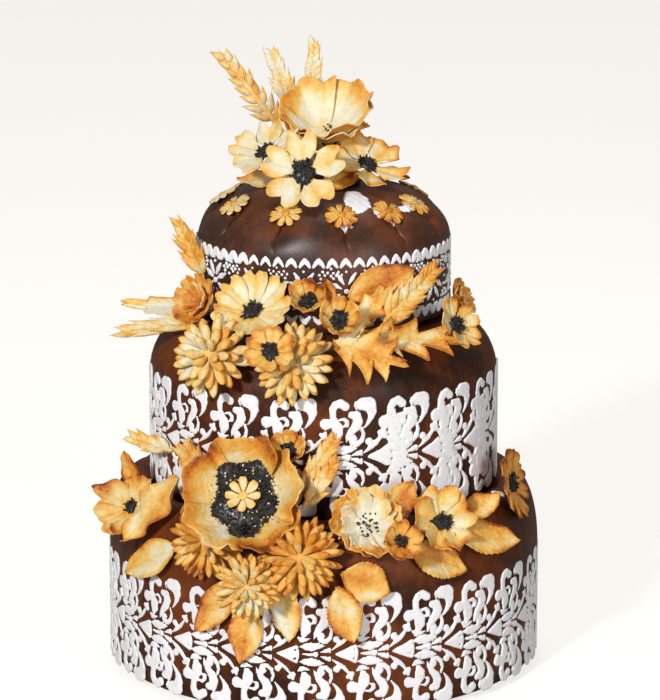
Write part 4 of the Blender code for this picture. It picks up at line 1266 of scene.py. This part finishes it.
EARS = (
    # node, base, tip, width, stem, look,
    # points a side, their spread, their length in widths of the ear, tone, dough
    ("ear_top_left", (-4, 27, 338), (-75, 27, 430), 13, 46, (0, 5),
     8, 34, 1.1, -0.04, "pastry_golden"),
    ("ear_top_mid", (-2, 33, 338), (-39, 31, 431), 12, 48, (0, 5),
     11, 32, 1.1, -0.20, "pastry_golden"),
    ("ear_top_right", (-9, 36, 337), (-6, 32, 438), 11, 52, (0, 5),
     8, 27, 1.1, -0.18, "pastry_golden"),
    ("ear_mid_upright", (-81, -55, 278), (-100, -50, 325), 14, 4, (-40, 10),
     8, 30, 1.1, -0.08, "pastry_brown"),
    ("ear_mid_flat", (-76, -62, 255), (-148, -50, 242), 13, 4, (-20, 50),
     8, 14, 1.9, -0.14, "pastry_golden"),
    ("ear_mid_feather", (38, -97, 258), (79, -60, 295), 15, 4, (30, 20),
     10, 30, 1.1, 0.08, "pastry_golden"),
    ("ear_low_left", (-100, -90, 169), (-136, -75, 176), 12, 4, (-20, 40),
     7, 28, 1.1, -0.04, "pastry_golden"),
    ("ear_low_inner", (-82, -100, 149), (-94, -90, 179), 15, 4, (-30, 20),
     7, 30, 1.1, 0.04, "pastry_golden"),
    ("ear_low_tall", (-16, -130, 148), (10, -124, 191), 12, 4, (0, 15),
     9, 28, 1.1, -0.08, "pastry_brown"),
    ("ear_low_short", (-14, -132, 139), (13, -124, 175), 12, 4, (0, 15),
     8, 28, 1.1, 0.04, "pastry_golden"),
)


def ear_tree(finish):
    """Points that stand out by turns from both sides of a stalk along +Y, narrower towards its end."""
    tree, given, output = start_tree("wheat_ear", (
        ("Grain", "Object"), ("Pairs", "Int"), ("Length", "Float"), ("Stem", "Float"),
        ("Width", "Float"), ("Spread", "Float"), ("Thick", "Float"), ("Seed", "Int"),
        ("Blade", "Float"), ("Tone", "Float"),
    ))
    index = put(tree, "GeometryNodeInputIndex").outputs[0]
    count = field(tree, "MULTIPLY", given["Pairs"], 2.0)
    share = field(tree, "DIVIDE", index, count)
    squared = field(tree, "MULTIPLY", share, share)
    room = field(tree, "SUBTRACT", given["Length"], given["Stem"])
    room = field(tree, "SUBTRACT", room, field(tree, "MULTIPLY", given["Blade"], 0.68))
    y = field(tree, "MULTIPLY_ADD", share, room, given["Stem"])
    side = field(tree, "MULTIPLY_ADD", field(tree, "MODULO", index, 2.0), 2.0, -1.0)
    x = field(tree, "MULTIPLY", side, field(tree, "MULTIPLY", given["Width"], -0.05))
    spot = vector(tree, x, y, field(tree, "MULTIPLY", share, 0.6 * MM))
    spots = put(tree, "GeometryNodePoints", {"Count": count, "Position": spot}).outputs[0]
    seed = given["Seed"]
    sway = chance(tree, 0.82, 1.2, seed, ID=index)
    lift = chance(tree, 0.0, 0.16, field(tree, "ADD", seed, 4), ID=index)
    narrow = field(tree, "MULTIPLY_ADD", squared, -0.45, 1.0)
    spread = field(tree, "MULTIPLY", side, given["Spread"])
    turn = field(tree, "MULTIPLY", spread, field(tree, "MULTIPLY", sway, narrow))
    aim = vector(tree, lift, z=turn)
    taper = field(tree, "SUBTRACT", 1.05, field(tree, "MULTIPLY", squared, 0.35))
    long = field(tree, "MULTIPLY", field(tree, "MULTIPLY", given["Blade"], taper), sway)
    size = vector(tree, field(tree, "MULTIPLY", given["Width"], 0.42), long, given["Thick"])
    scales = copies(tree, spots, given["Grain"], Rotation=aim, Scale=size)
    ear = gathered(tree, given["Geometry"], each_baked(tree, scales, given["Tone"], seed))
    end_tree(tree, output, ear, finish)
    return tree


def stalk(name, length, stem, width, finish, tone):
    """Flattened rod along +Y, thin below the ear and as wide as its core inside it."""
    line = np.linspace(0.0, 1.0, 18)
    ending = np.clip((line - 0.8) / 0.2, 0.0, 1.0)
    half = np.where(line * length < stem, 1.5, 0.16 * width) * (1.0 - 0.75 * ending)
    half[0] = half[-1] = 0.05
    points, marks, faces = [], [], []
    around = 10
    for at, reach in zip(line, half):
        for step in range(around):
            angle = math.tau * step / around
            points.append((reach * math.cos(angle), at * length * 0.96, -0.8 * reach * math.sin(angle)))
            marks.append(tone)
    for ring in range(len(line) - 1):
        for step in range(around):
            ahead = (step + 1) % around
            low, high = ring * around, (ring + 1) * around
            faces.append((low + step, low + ahead, high + ahead, high + step))
    faces.append(tuple(range(around))[::-1])
    faces.append(tuple(len(points) - around + step for step in range(around)))
    return mesh_piece(name, points, faces, finish, marks)


ears = {dough: ear_tree(PASTRY[dough]) for dough in ("pastry_golden", "pastry_brown")}
ear_scale = plump_petal("ear_scale", belly=0.34, blunt=1.2, finish=PASTRY["pastry_golden"])
for order, (node, base, tip, width, stem, look, pairs, spread, blade, tone, dough) in enumerate(EARS):
    axes, length = along(base, tip, look)
    rod = stalk(node + "_stalk", length, stem, width, PASTRY[dough], tone)
    ear = run_tree(node + "_scales", ears[dough], {
        "Grain": ear_scale, "Pairs": pairs, "Length": length * MM, "Stem": stem * MM, "Width": width * MM,
        "Spread": math.radians(spread), "Thick": 0.3 * width * MM, "Seed": order,
        "Blade": blade * width * MM, "Tone": tone,
    }, rod)
    settle(carry(ear, seat(points_of(ear) / MM, node, axes), axes), dough, node)
for spare in (seed_grain, mum_petal, ear_scale):
    bpy.data.objects.remove(spare, do_unlink=True)

# ---------------------------------------------------------------- floor, light and camera
# A plain pale floor that glows faintly for the camera alone, a soft key light from the front left
# with a weaker one opposite and one above, and a long lens that looks down by 0.223 radians.

floor_mesh = bpy.data.meshes.new("floor")
floor_mesh.from_pydata([(-9, -9, 0), (9, -9, 0), (9, 9, 0), (-9, 9, 0)], [], [(0, 1, 2, 3)])
floor = new_object("floor", floor_mesh)
floor_finish, floor_shader = blank_material("pale_floor", 0.9)
floor_shader.inputs["Base Color"].default_value = (0.42, 0.40, 0.37, 1.0)
floor_shader.inputs["Emission Color"].default_value = (0.98, 0.955, 0.925, 1.0)
floor_tree = floor_finish.node_tree
seen = put(floor_tree, "ShaderNodeLightPath").outputs["Is Camera Ray"]
glow = field(floor_tree, "MULTIPLY", seen, 0.80)
floor_tree.links.new(glow, floor_shader.inputs["Emission Strength"])
floor_mesh.materials.append(floor_finish)
bpy.context.scene.view_settings.view_transform = "Standard"
world = bpy.data.worlds.new("studio")
bpy.context.scene.world = world
world.use_nodes = True
sky = world.node_tree.nodes["Background"].inputs
sky["Color"].default_value = (1.0, 0.98, 0.95, 1.0)
sky["Strength"].default_value = 0.20
for name, spot, energy, size in (
    ("key_light", (-1.7, -3.6, 1.9), 137.0, 0.4),
    ("fill_light", (2.2, -3.2, 0.8), 41.0, 1.0),
    ("top_light", (0.1, 0.5, 2.1), 7.0, 1.0),
):
    lamp = bpy.data.lights.new(name, "AREA")
    lamp.energy = energy
    lamp.size = size
    light = new_object(name, lamp)
    light.location = spot
    light.rotation_euler = (Vector((0.0, 0.0, 0.2)) - Vector(spot)).to_track_quat("-Z", "Y").to_euler()
lens = bpy.data.cameras.new("camera")
lens.lens = 177.4
lens.sensor_width = 36.0
camera = new_object("camera", lens)
camera.location = (0.0045, -2.340, 0.749)
camera.rotation_euler = (math.pi / 2 - 0.223, 0.0, 0.0)
bpy.context.scene.camera = camera
